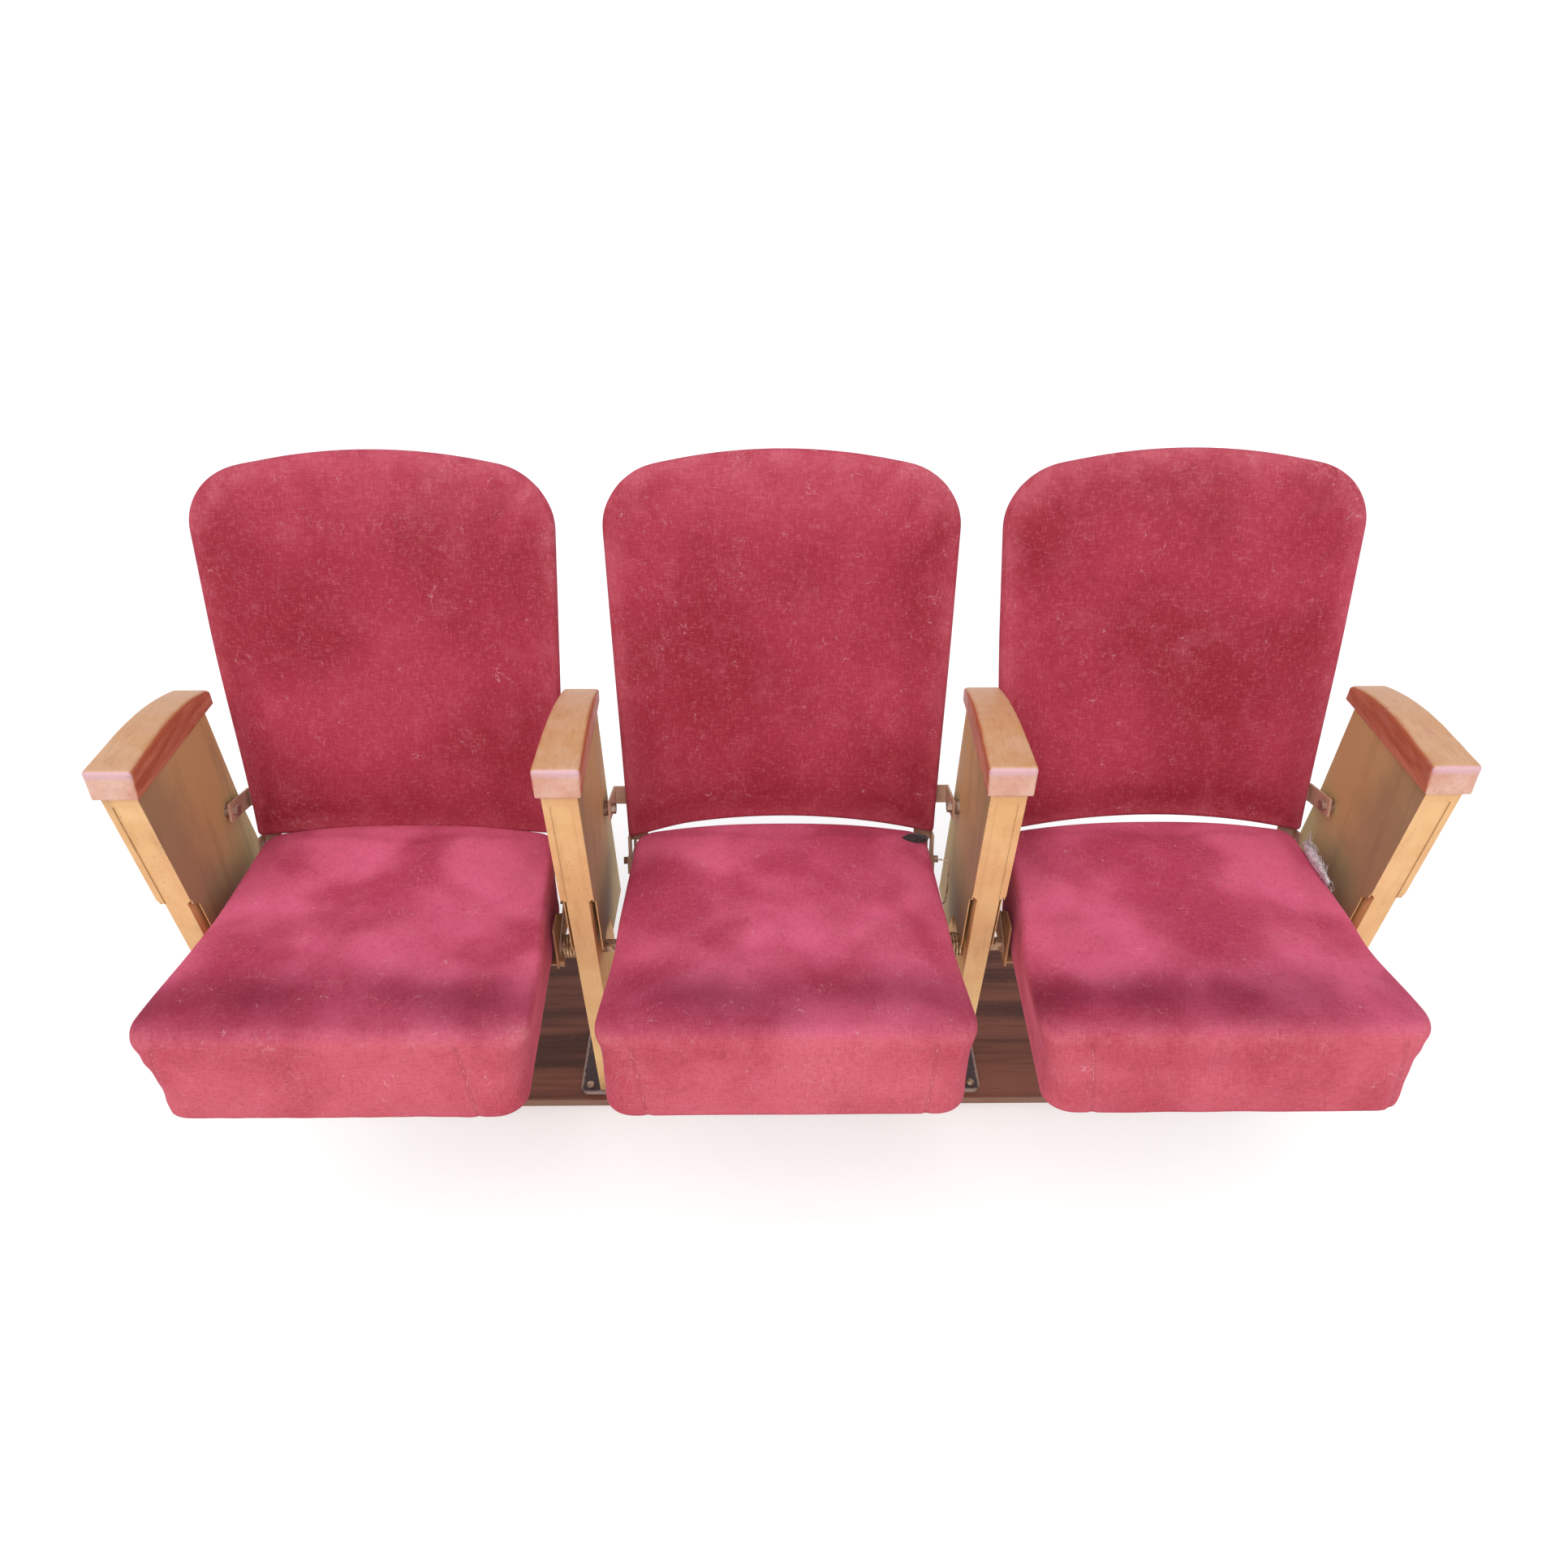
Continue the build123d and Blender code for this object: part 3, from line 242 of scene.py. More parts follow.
def varnish(name):
    """Varnished wood, rubbed golden on top, redder down its sides, its front edges pale lilac: partly
    abraded, partly a painted highlight.
    """
    wood = Finish(name)
    drift = wood.place(scale=(1.0, 0.14, 1.0))
    grain = wood.noise(230.0, 5.0, 0.68, drift, 0.4)
    streak = wood.noise(52.0, 4.0, 0.6, drift, 0.8)
    patch = wood.noise(26.0, 3.0, 0.6)
    speck = wood.noise(560.0, 2.0, 0.7)
    top, front, edge = (wood.attribute(part) for part in ("top", "front", "edge"))
    colour = wood.mix(streak.ramp(0.30, 0.70), (182, 96, 62), (218, 146, 112))
    colour = wood.mix(top, colour, wood.mix(patch.ramp(0.34, 0.66), (208, 152, 102), (216, 168, 130)))
    colour = wood.mix(front, colour, wood.mix(patch.ramp(0.30, 0.70), (218, 158, 134), (234, 190, 170)))
    colour = wood.mix(grain.ramp(0.48, 0.76) * 0.30, colour, (158, 84, 44))
    colour = wood.mix(streak.ramp(0.56, 0.80) * 0.26, colour, (184, 104, 64))
    colour = wood.mix(speck.ramp(0.60, 0.74) * 0.42, colour, (244, 208, 150))
    stain = wood.noise(34.0, 3.0, 0.6, wood.place(shift=(5.0, 2.0, 1.0))).ramp(0.60, 0.72)
    colour = wood.mix(stain * 0.38, colour, (196, 128, 122))
    beside = edge * (1 - top) * (1 - front)
    colour = wood.mix(beside * streak.ramp(0.35, 0.60) * 0.65, colour, (178, 86, 42))
    # Pale lilac on the front's edges: partly abraded varnish, partly a painted highlight, strongest along
    # the front's top edge.
    colour = wood.mix(edge * front * patch.ramp(0.20, 0.46) * 0.85, colour, (222, 176, 186))
    height = grain * 0.6 + speck * 0.35 + patch * 0.7 + streak * 0.3
    rough = 0.36 + patch.ramp(0.30, 0.70) * 0.22 + speck * 0.10
    return wood.finish(colour, rough, height, 0.20, 0.0006, Coat_Weight=0.2, Coat_Roughness=0.3)


def coated(name, light, mid, dark, rust, gloss=0.45, streaks=0.4):
    """Old paint: orange peel, brown specks, scratches and long drips. Gives the finish, its
    colour, roughness, height and drips, for what else lies on it."""
    coat = Finish(name)
    patch = coat.noise(13.0, 4.0, 0.6, None, 0.3)
    speck = coat.noise(420.0, 3.0, 0.75)
    dots = coat.specks(140.0, 0.15) * coat.noise(30.0, 2.0).ramp(0.48, 0.62)
    drip = coat.noise(42.0, 3.0, 0.6, coat.place(scale=(1.0, 1.0, 0.10)))
    scratch = coat.specks(75.0, 0.14, coat.place(scale=(1.0, 0.3, 0.10), turn=(0.12, 0.0, 0.0)))
    colour = coat.mix(patch.ramp(0.32, 0.68), mid, light)
    colour = coat.mix(drip.ramp(0.52, 0.78) * streaks, colour, dark)
    colour = coat.mix(speck.ramp(0.58, 0.76) * 0.38, colour, dark)
    colour = coat.mix(dots * 0.65, colour, rust)
    colour = coat.mix(scratch * 0.4, colour, dark)
    height = coat.noise(330.0, 2.0, 0.55) * 0.8 - dots * 0.9 + speck * 0.25
    return coat, colour, gloss + speck * 0.16 + patch * 0.10, height, drip, patch


def paint(name, *colours, **choices):
    """Old paint as it is."""
    coat, colour, rough, height, _, _ = coated(name, *colours, **choices)
    return coat.finish(colour, rough, height, 0.26, 0.0006)


def casing_paint(name, *colours, side_tone_and_shade):
    """Old paint; the faces that look along the row get colours of their own, partly the paint's tone
    and partly painted shade: darker than the fronts, brownest at front and foot, olive gold towards
    their upper rear, with dark drips."""
    coat, colour, rough, height, drip, patch = coated(name, *colours)
    normal = coat.node("ShaderNodeNewGeometry", {}, (), "True Normal")
    sideways = coat.axis("X", normal).absolute().ramp(0.6, 0.9)
    # Painted shade in part: the side faces are darker than the fronts, and darkest at their front and foot
    # beside the seats.
    rise = (coat.axis("Y") + coat.axis("Z") * 0.3 + (patch - 0.5) * 0.16).ramp(-0.055, 0.055)
    face = coat.mix(rise, side_tone_and_shade[0], side_tone_and_shade[1])
    face = coat.mix(drip.ramp(0.50, 0.76) * 0.30, face, side_tone_and_shade[2])
    face = coat.mix(coat.noise(380.0, 3.0, 0.75).ramp(0.58, 0.74) * 0.30, face, side_tone_and_shade[2])
    return coat.finish(coat.mix(sideways, colour, face), rough, height, 0.26, 0.0006)


def leg_paint(name, *colours):
    """Old paint with grime at the foot; the foot plates are blackened, their rims scuffed pale."""
    coat, colour, rough, height, _, _ = coated(name, *colours)
    z = coat.axis("Z")
    reaches = [(coat.axis("X") - centre).absolute() for centre in STANDARD_X]
    aside = reaches[0].least(reaches[1]).least(reaches[2]).least(reaches[3])
    scuff = coat.noise(120.0, 4.0, 0.7)
    rim = (aside - FOOT_HALF).most(FOOT_FRONT_Y - coat.axis("Y")) + scuff * 0.008
    plate = coat.mix(rim.ramp(-0.0005, 0.0035), (66, 46, 52), (176, 156, 148))
    plate = coat.mix(scuff.ramp(0.54, 0.68) * 0.5, plate, (124, 90, 88))
    low = z.ramp(FOOT_TOP + 0.0030, FOOT_TOP + 0.0014)
    grime = (z + scuff * 0.06).ramp(FOOT_TOP + 0.10, FOOT_TOP) * 0.55
    colour = coat.mix(low, coat.mix(grime, colour, (120, 78, 54)), plate)
    return coat.finish(colour, rough, height, 0.26, 0.0006)


def aged_steel(name, light, dark, metallic=0.75):
    """Dull steel with brown rust blooms and rubbed bright spots."""
    steel = Finish(name)
    bloom = steel.noise(85.0, 4.0, 0.65)
    fine = steel.noise(520.0, 2.0, 0.7)
    rust = bloom.ramp(0.40, 0.62)
    colour = steel.mix(fine.ramp(0.55, 0.75) * 0.4, steel.mix(rust, light, dark), (96, 58, 38))
    height = bloom * 0.7 + fine * 0.5
    rough = 0.38 + rust * 0.35 + fine * 0.1
    return steel.finish(colour, rough, height, Metallic=(1 - rust * 0.8) * metallic)


def veneer(name):
    """Dark red-brown veneer: long bands, fine streaks, golden pores and a pale rubbed edge."""
    wood = Finish(name)
    along = wood.place(scale=(0.05, 1.0, 1.0))
    grain = wood.noise(150.0, 5.0, 0.7, along, 0.5)
    pore = wood.noise(720.0, 2.0, 0.6, wood.place(scale=(0.16, 1.0, 1.0)))
    band = wood.noise(24.0, 3.0, 0.55, along, 0.3).ramp(0.34, 0.66)
    colour = wood.mix(band, (82, 50, 43), (142, 90, 75))
    colour = wood.mix(grain.ramp(0.44, 0.74) * 0.50, colour, (52, 28, 22))
    colour = wood.mix(pore.ramp(0.60, 0.72) * 0.42, colour, (164, 104, 62))
    rub = wood.noise(70.0, 3.0, 0.6, wood.place(scale=(0.3, 1.0, 1.0)))
    edge = (wood.axis("Y") + rub * 0.006).ramp(BOARD_LOW.y + 0.0062, BOARD_LOW.y + 0.0030)
    colour = wood.mix(edge * 0.8, colour, (156, 122, 104))
    height = grain * 0.6 + pore * 0.5
    return wood.finish(colour, 0.46 + grain * 0.2, height, 0.2, 0.0005, Specular_IOR_Level=0.25)


def fibres(name, light, dark):
    """Loose matte fibres, some lighter and some darker."""
    fluff = Finish(name)
    colour = fluff.mix(fluff.noise(220.0, 3.0, 0.7).ramp(0.35, 0.65), light, dark)
    return fluff.finish(colour, 0.95, fluff.noise(900.0, 2.0), 0.4, 0.0005, Sheen_Weight=0.3)


FINISHES = {
    "velvet_back": velvet(
        "velvet_back", upright=((166, 50, 66), (186, 66, 88)), face_nap_and_sky_sheen=((156, 46, 60), (182, 64, 84)),
        turn=(0.3, 0.1, 0.2), scale=4.0,
    ),
    "velvet_seat": velvet(
        "velvet_seat", upright=((190, 76, 90), (212, 98, 112)), face_nap_and_sky_sheen=((186, 68, 96), (227, 105, 139)),
        turn=(0.1, 0.2, 0.7), scale=8.0,
    ),
    "varnish": varnish("armrest_varnish"),
    "leg": leg_paint("leg_paint", (252, 206, 144), (242, 190, 128), (190, 134, 86), (130, 84, 54)),
    "casing": casing_paint(
        "casing_paint", (250, 202, 142), (238, 184, 124), (166, 116, 76), (122, 78, 50),
        side_tone_and_shade=((174, 150, 110), (210, 180, 122), (120, 92, 64)),
    ),
    "shell": paint(
        "shell_paint", (202, 154, 95), (187, 139, 84), (132, 94, 58), (104, 62, 38), streaks=0.28
    ),
    "iron": paint("iron_paint", (210, 172, 148), (178, 138, 112), (116, 82, 64), (96, 54, 36), gloss=0.5),
    "pan": paint("pan_paint", (198, 148, 106), (184, 134, 94), (110, 72, 50), (100, 56, 36), gloss=0.5),
    "steel": aged_steel("screw_steel", (190, 164, 148), (124, 88, 70)),
    "journal": aged_steel("journal_steel", (206, 170, 138), (130, 92, 68), 0.45),
    "spring": aged_steel("spring_steel", (236, 208, 168), (146, 104, 72), 0.55),
    "brass": aged_steel("bush_brass", (190, 150, 82), (124, 88, 48), 0.85),
    "veneer": veneer("board_veneer"),
    "stuffing": fibres("stuffing", (228, 222, 224), (172, 160, 170)),
    "lining": fibres("torn_lining", (62, 48, 50), (30, 22, 24)),
}


def wear(finish, *nodes):
    """Gives CAD nodes a finish in all their material slots."""
    for node in nodes:
        mesh = frame["nodes"][node].data
        mesh.materials.clear()
        mesh.materials.append(FINISHES[finish])


# ---------------------------------------------------------------- surfaces
def new_piece(name, vertices, faces, finish):
    """Smooth mesh object at the origin from arrays: doubles merged, then faces turned outward."""
    mesh = bpy.data.meshes.new(name)
    mesh.from_pydata(np.asarray(vertices).tolist(), [], np.asarray(faces).tolist())
    shape = bmesh.new()
    shape.from_mesh(mesh)
    bmesh.ops.remove_doubles(shape, verts=shape.verts, dist=2e-6)
    bmesh.ops.recalc_face_normals(shape, faces=shape.faces)
    shape.to_mesh(mesh)
    shape.free()
    mesh.materials.append(FINISHES[finish])
    mesh.shade_smooth()
    piece = bpy.data.objects.new(name, mesh)
    bpy.context.scene.collection.objects.link(piece)
    return piece


def grid_faces(rows, columns, start=0):
    """Quads of a rows by columns grid of points, numbered row by row from start."""
    corner = (np.arange(rows - 1)[:, None] * columns + np.arange(columns - 1)[None, :]).ravel() + start
    return np.stack([corner, corner + 1, corner + columns + 1, corner + columns], 1)


def cube_skin(across, deep, tall, place):
    """Closed skin: the six grids of a unit cube's surface, carried to space by place(a, b, c)."""
    points, faces, count = [], [], 0
    a, b, c = np.linspace(-1, 1, across), np.linspace(-1, 1, deep), np.linspace(-1, 1, tall)
    for fixed, first, second in ((2, a, b), (1, a, c), (0, b, c)):
        for end in (-1.0, 1.0):
            grid = list(np.meshgrid(first, second, indexing="ij"))
            grid.insert(fixed, np.full_like(grid[0], end))
            points.append(np.stack([part.ravel() for part in place(*grid)], 1))
            faces.append(grid_faces(len(first), len(second), count))
            count += grid[0].size
    return np.concatenate(points), np.concatenate(faces)


def rounded(a, b, half_x, half_y, radius):
    """Point of a rounded rectangle: the square's point, its corners pulled onto arcs."""
    level = np.maximum(np.maximum(np.abs(a), np.abs(b)), 1e-9)
    x, y = a / level * half_x, b / level * half_y
    near_x = np.clip(x, -(half_x - radius), half_x - radius)
    near_y = np.clip(y, -(half_y - radius), half_y - radius)
    out_x, out_y = x - near_x, y - near_y
    length = np.maximum(np.hypot(out_x, out_y), 1e-9)
    return level * (near_x + out_x / length * radius), level * (near_y + out_y / length * radius)


def smooth_step(value, low, high):
    """0 below low, 1 above high, with a smooth rise between."""
    share = np.clip((value - low) / (high - low), 0, 1)
    return share * share * (3 - 2 * share)


def bump(value, middle, width):
    """Bell of height 1 about a middle value."""
    return np.exp(-(((value - middle) / width) ** 2))


def tubes(paths, radii, sides):
    """Closed tubes along many paths at once: at each point a ring in the plane across the
    path, of the radius given; the end rings are drawn to points."""
    count, length, _ = paths.shape
    ahead = np.gradient(paths, axis=1)
    ahead /= np.linalg.norm(ahead, axis=2, keepdims=True)
    first = np.cross(ahead, (0.31, 0.83, 0.46))
    first /= np.linalg.norm(first, axis=2, keepdims=True)
    second = np.cross(ahead, first)
    turn = np.linspace(0, 2 * math.pi, sides + 1)[None, None, :, None]
    size = np.broadcast_to(radii, (count, length)).copy()
    size[:, [0, -1]] = 0
    ring = first[:, :, None] * np.cos(turn) + second[:, :, None] * np.sin(turn)
    rings = paths[:, :, None] + ring * size[:, :, None, None]
    starts = np.arange(count) * length * (sides + 1)
    return rings.reshape(-1, 3), np.concatenate([grid_faces(length, sides + 1, start) for start in starts])


def paint_points(piece, **values):
    """Stores numbers for each point of the mesh under their names."""
    for name, value in values.items():
        attribute = piece.data.attributes.new(name, "FLOAT", "POINT")
        attribute.data.foreach_set("value", np.ascontiguousarray(value, np.float32))


def points_of(piece):
    """Array of the mesh's points."""
    place = np.zeros(len(piece.data.vertices) * 3, np.float32)
    piece.data.vertices.foreach_get("co", place)
    return place.reshape(-1, 3).astype(float)


def move_points(piece, place):
    """Writes an array of points back into the mesh."""
    piece.data.vertices.foreach_set("co", np.ascontiguousarray(place, np.float32).ravel())
    piece.data.update()


def ripple(x, y, seed, short=0.05, long=0.22):
    """Slow unevenness in -1..1: seven waves of different length and direction."""
    chance = np.random.default_rng(seed)
    turn, phase = chance.uniform(0, math.pi, 7), chance.uniform(0, 2 * math.pi, 7)
    wave = 2 * math.pi / chance.uniform(short, long, 7)
    total = np.multiply.outer(x, np.cos(turn) * wave) + np.multiply.outer(y, np.sin(turn) * wave) + phase
    return np.sin(total).mean(axis=-1)


# ---------------------------------------------------------------- soft parts
SEAT_TILT = math.radians(3.4)
SEAT_FORWARD = 0.2947
SEAT_RISE = 0.0035
CUSHION_LENGTH = 0.400
WALL_FRONT_HALF = 0.2105
WALL_REAR_HALF = 0.1935
CUSHION_EDGE = 0.1045
# Cushion's profile from foot to top: share of the way, then in millimetres the flank's reach
# beyond its wall and its height, the front's set-back and its height, and the rear's place.
PROFILE = np.array([
    (0.00, -3.5, -13.0, 3.5, -13.0, 390.5), (0.05, -0.9, -12.4, 0.9, -12.4, 393.0),
    (0.10, 0.0, -9.5, 0.0, -9.5, 394.0), (0.22, 0.3, 8.0, 0.6, 8.0, 394.5),
    (0.36, 0.3, 30.0, 2.0, 32.0, 395.0), (0.48, -0.2, 48.0, 3.8, 54.0, 396.0),
    (0.57, 0.3, 62.0, 5.0, 68.0, 397.0), (0.65, 1.8, 72.5, 6.0, 78.0, 398.0),
    (0.72, 3.8, 80.5, 7.0, 84.5, 399.0), (0.79, 5.6, 87.0, 8.4, 89.5, 400.0),
    (0.85, 6.6, 92.5, 10.8, 94.0, 400.0), (0.90, 6.0, 97.5, 13.8, 98.0, 399.4),
    (0.95, 3.4, 102.0, 18.0, 101.8, 397.4), (1.00, -1.0, 104.5, 24.0, 104.5, 394.0),
])
BACK_RAKE = math.radians(15.1)
BACK_SETBACK = 0.200
BACK_HEIGHT = 0.430
BACK_FOOT_HALF = 0.2096
BACK_FLARE = 0.0146
BACK_WIDEST = 0.438
BACK_LENGTH = 0.5105
BACK_RISE = 0.036
BACK_ARCH = 0.026
BACK_CROWN = 0.015
PAD_REAR = -0.0085
SHELL_REAR = -0.0145

SEAT_AXES = np.array([
    [1, 0, 0], [0, math.cos(SEAT_TILT), -math.sin(SEAT_TILT)], [0, math.sin(SEAT_TILT), math.cos(SEAT_TILT)]
])
BACK_AXES = np.array([
    [1, 0, 0], [0, math.sin(BACK_RAKE), math.cos(BACK_RAKE)], [0, -math.cos(BACK_RAKE), math.sin(BACK_RAKE)]
])
# How far each cushion's sides stand beyond the usual, in pairs of left and right: at the
# front shoulders, and along the middle of the sides.
FRONT_BULGE = {1: (0.0134, 0.006), 2: (0.001, 0.002), 3: (0.008, 0.006)}
SIDE_BULGE = {1: (0.004, 0.006), 2: (-0.003, -0.002), 3: (0.009, -0.005)}
# Front seams: place across at the top edge, and how far they lean outward on their way down.
FRONT_SEAMS = {
    1: ((-0.195, 0.006), (0.139, 0.015)),
    2: ((-0.176, -0.016), (0.170, -0.008)),
    3: ((-0.168, -0.012), (0.185, 0.004)),
}
SEAM_GROOVE = 0.0016
SEAM_WIDTH = 0.004
PUCKER_DEPTH = 0.0010
PUCKER_REACH = 0.022
NO_SEAM = 0.02
# How far the pads stand beyond the usual near their heads, left and right, and how much
# lower their arched feet hang in the middle and at the left.
PAD_BULGE = {1: (0.009, 0.000), 2: (0.001, 0.002), 3: (0.005, 0.005)}
FOOT_SAG = {1: 0.016, 2: 0.0, 3: 0.001}
FOOT_DIP = {1: 0.0, 2: 0.005, 3: 0.0}
# The cloth simulation: inner pressure, its frames, and how far walls and faces may swell.
PRESSURE = 4.0
SWELL_FRAMES = 20
WALL_SWELL = 0.001
FACE_SWELL = 0.004


def seat_origin(number):
    """Foot of the cushion's front, in the middle: ahead of the pivot along the seat."""
    return np.array(PIVOTS[number]) - SEAT_AXES[1] * SEAT_FORWARD + SEAT_AXES[2] * SEAT_RISE


def back_origin(number):
    """Middle of the back's lower edge in the pad's widest plane."""
    return np.array([PIVOTS[number][0], ARM_FRONT_Y + BACK_SETBACK, BACK_HEIGHT])


def cushion_place(a, b, c):
    """Cushion in seat coordinates. Its walls follow the profile round a rounded trapezoid;
    the top is crowned and arches up at the rear; below, a skirt hangs round the pan."""
    level = np.maximum(np.abs(a), np.abs(b))
    side = level >= 1 - 1e-9
    share = np.where(side, (c + 1) / 2, np.where(c > 0, 1.0, 0.0))
    inner = np.where(c > 0, level, level**0.5)
    a, b = a / np.maximum(level, 1e-9) * inner, b / np.maximum(level, 1e-9) * inner
    steps, *lines = PROFILE.T
    reach, flank_z, front, front_z, rear = (np.interp(share, steps, line) * MM for line in lines)
    radius = np.where(b > 0, 0.020, 0.036 - 0.010 * share)
    x, y = rounded(a, b, WALL_FRONT_HALF, CUSHION_LENGTH / 2, radius)
    flank = smooth_step(np.abs(x), 0.80 * WALL_FRONT_HALF, 0.97 * WALL_FRONT_HALF)
    y = front + (y / CUSHION_LENGTH + 0.5) * (rear - front)
    wall = WALL_FRONT_HALF - (WALL_FRONT_HALF - WALL_REAR_HALF) * y / CUSHION_LENGTH
    x = x * (wall + reach) / WALL_FRONT_HALF
    z = flank * flank_z + (1 - flank) * front_z
    above = c > 1 - 1e-9
    bed = (1 - np.abs(a) ** 2.4) * (1 - np.abs(b) ** 2.4)
    z = np.where(above, CUSHION_EDGE + 0.009 * np.maximum(bed, 0) ** 0.8, z)
    z = z + np.where(above | side, smooth_step(share, 0.5, 1.0), 0) * rear_arch(x, y)
    return x, y, np.where((c < 0) & ~side, -0.013 + 0.013 * (1 - smooth_step(level, 0.84, 0.93)), z)


def rear_arch(x, y):
    """How much the cushion's rear rises: a flat-topped arch across, growing to the rear."""
    arch = np.clip(1 - np.abs(x / WALL_REAR_HALF) ** 2.4, 0, 1)
    return (0.007 + 0.018 * arch) * smooth_step(y, 0.20, 0.40)


def pad_place(a, b, c):
    """Back pad in back coordinates: straight flaring sides, arched foot, crowned head,
    rounded towards the front and flat behind."""
    level = np.maximum(np.abs(a), np.abs(b))
    side = level >= 1 - 1e-9
    height = np.where(side, (c + 1) / 2, np.where(c > 0, 1.0, 0.0))
    inset = 0.0030 * smooth_step(height, 0.6, 1.0) - 0.0012 * bump(height, 0.40, 0.35)
    x, up = back_outline(a, b, inset)
    out = PAD_REAR + height * (0.004 - PAD_REAR)
    roll = smooth_step(level, 0.86, 1.0) ** 1.6 * (BACK_CROWN - 0.008)
    front = BACK_CROWN - 0.004 - roll + 0.002 * (1 - a**2) * (1 - b**2)
    out = np.where((c > 1 - 1e-9) & ~side, front, out)
    return x, up, out


def back_outline(a, b, inset):
    """Outline of a back drawn in by inset: a rounded rectangle, its foot and head bowed up,
    its sides flaring."""
    shoulder = BACK_LENGTH - BACK_RISE
    radius = np.where(b > 0, 0.061, 0.007)
    x, up = rounded(a, b, BACK_FOOT_HALF - inset, shoulder / 2 - inset, radius)
    up = up + shoulder / 2
    share = np.clip(up / shoulder, 0, 1)
    up = up + (1 - (x / BACK_FOOT_HALF) ** 2) * (BACK_ARCH * (1 - share) + BACK_RISE * share)
    return x * (1 + BACK_FLARE / BACK_FOOT_HALF * up / BACK_WIDEST), up


def shell_place(a, b, c):
    """Pressed shell behind the pad, in back coordinates: a plate just inside the pad's
    outline, its rim turned forward round a soft bend."""
    level = np.maximum(np.abs(a), np.abs(b))
    side = level >= 1 - 1e-9
    height = np.where(side, (c + 1) / 2, np.where(c > 0, 1.0, 0.0))
    x, up = back_outline(a, b, 0.0012 + 0.0040 * (1 - smooth_step(height, 0.0, 0.75)) ** 2)
    return x, up, SHELL_REAR + height * (PAD_REAR - 0.0001 - SHELL_REAR)


def spread_back(number, x, up):
    """A back's own proportions: how far its head stands out and its foot hangs down."""
    left, right = PAD_BULGE[number]
    high = smooth_step(up, 0.02, 0.30)
    x = x + (right * smooth_step(x, 0.12, 0.22) - left * smooth_step(-x, 0.12, 0.22)) * high
    sag = FOOT_SAG[number] * np.clip(1 - (x / 0.21) ** 2, 0, 1)
    sag = sag + FOOT_DIP[number] * smooth_step(-x, 0.12, 0.21)
    return x, up - (1 - smooth_step(up, 0.0, 0.16)) * sag


def puff(piece, held, cap):
    """Cloth simulation: inner pressure swells the skin, and no point moves past its cap."""
    start = points_of(piece)
    group = piece.vertex_groups.new(name="held")
    group.add(np.nonzero(held)[0].tolist(), 1.0, "REPLACE")
    cloth = piece.modifiers.new("swell", "CLOTH")
    settings = cloth.settings
    settings.use_pressure = True
    settings.uniform_pressure_force = PRESSURE
    settings.effector_weights.gravity = 0.0
    settings.vertex_group_mass = "held"
    settings.tension_stiffness = 25
    settings.compression_stiffness = 25
    settings.bending_stiffness = 0.6
    settings.quality = 5
    cloth.point_cache.frame_start, cloth.point_cache.frame_end = 1, SWELL_FRAMES
    for step in range(1, SWELL_FRAMES + 1):
        bpy.context.scene.frame_set(step)
    seen = piece.evaluated_get(bpy.context.evaluated_depsgraph_get())
    swollen = np.zeros(len(seen.data.vertices) * 3, np.float32)
    seen.data.vertices.foreach_get("co", swollen)
    piece.modifiers.remove(cloth)
    piece.vertex_groups.remove(group)
    bpy.context.scene.frame_set(1)
    move = swollen.reshape(-1, 3) - start
    length = np.maximum(np.linalg.norm(move, axis=1), 1e-9)
    move_points(piece, start + move * np.minimum(1.0, cap / length)[:, None])


def refine(piece):
    """One Catmull-Clark level, applied."""
    modifier = piece.modifiers.new("refine", "SUBSURF")
    modifier.levels = modifier.render_levels = 1
    seen = piece.evaluated_get(bpy.context.evaluated_depsgraph_get())
    mesh = bpy.data.meshes.new_from_object(seen)
    piece.modifiers.clear()
    old = piece.data
    piece.data = mesh
    bpy.data.meshes.remove(old)


def cushion_model():
    """Cushion's skin, its top swollen by up to 5 mm and its walls by 1 mm."""
    piece = new_piece("cushion_model", *cube_skin(75, 69, 25, cushion_place), "velvet_seat")
    x, y, z = points_of(piece).T
    inside = smooth_step(0.21 - np.abs(x), 0.0, 0.05) * smooth_step(y, 0.0, 0.06)
    inside = inside * smooth_step(CUSHION_LENGTH - y, 0.0, 0.04)
    puff(piece, z < 0.004, WALL_SWELL + FACE_SWELL * inside * smooth_step(z, 0.09, 0.10))
    refine(piece)
    return piece


def pad_model():
    """Back pad's skin, its front swollen by up to 5 mm and its rim by 1 mm."""
    piece = new_piece("pad_model", *cube_skin(75, 85, 7, pad_place), "velvet_back")
    x, up, out = points_of(piece).T
    inside = smooth_step(0.22 - np.abs(x), 0.0, 0.05) * smooth_step(up, 0.02, 0.08)
    inside = inside * smooth_step(BACK_LENGTH - up, 0.0, 0.06)
    front = smooth_step(out, 0.004, 0.009)
    puff(piece, out < PAD_REAR + 0.002, WALL_SWELL + FACE_SWELL * inside * front)
    refine(piece)
    return piece


def copy_of(model, name):
    """A copy of a model with a mesh of its own."""
    piece = model.copy()
    piece.data = model.data.copy()
    piece.name = piece.data.name = name
    bpy.context.scene.collection.objects.link(piece)
    return piece


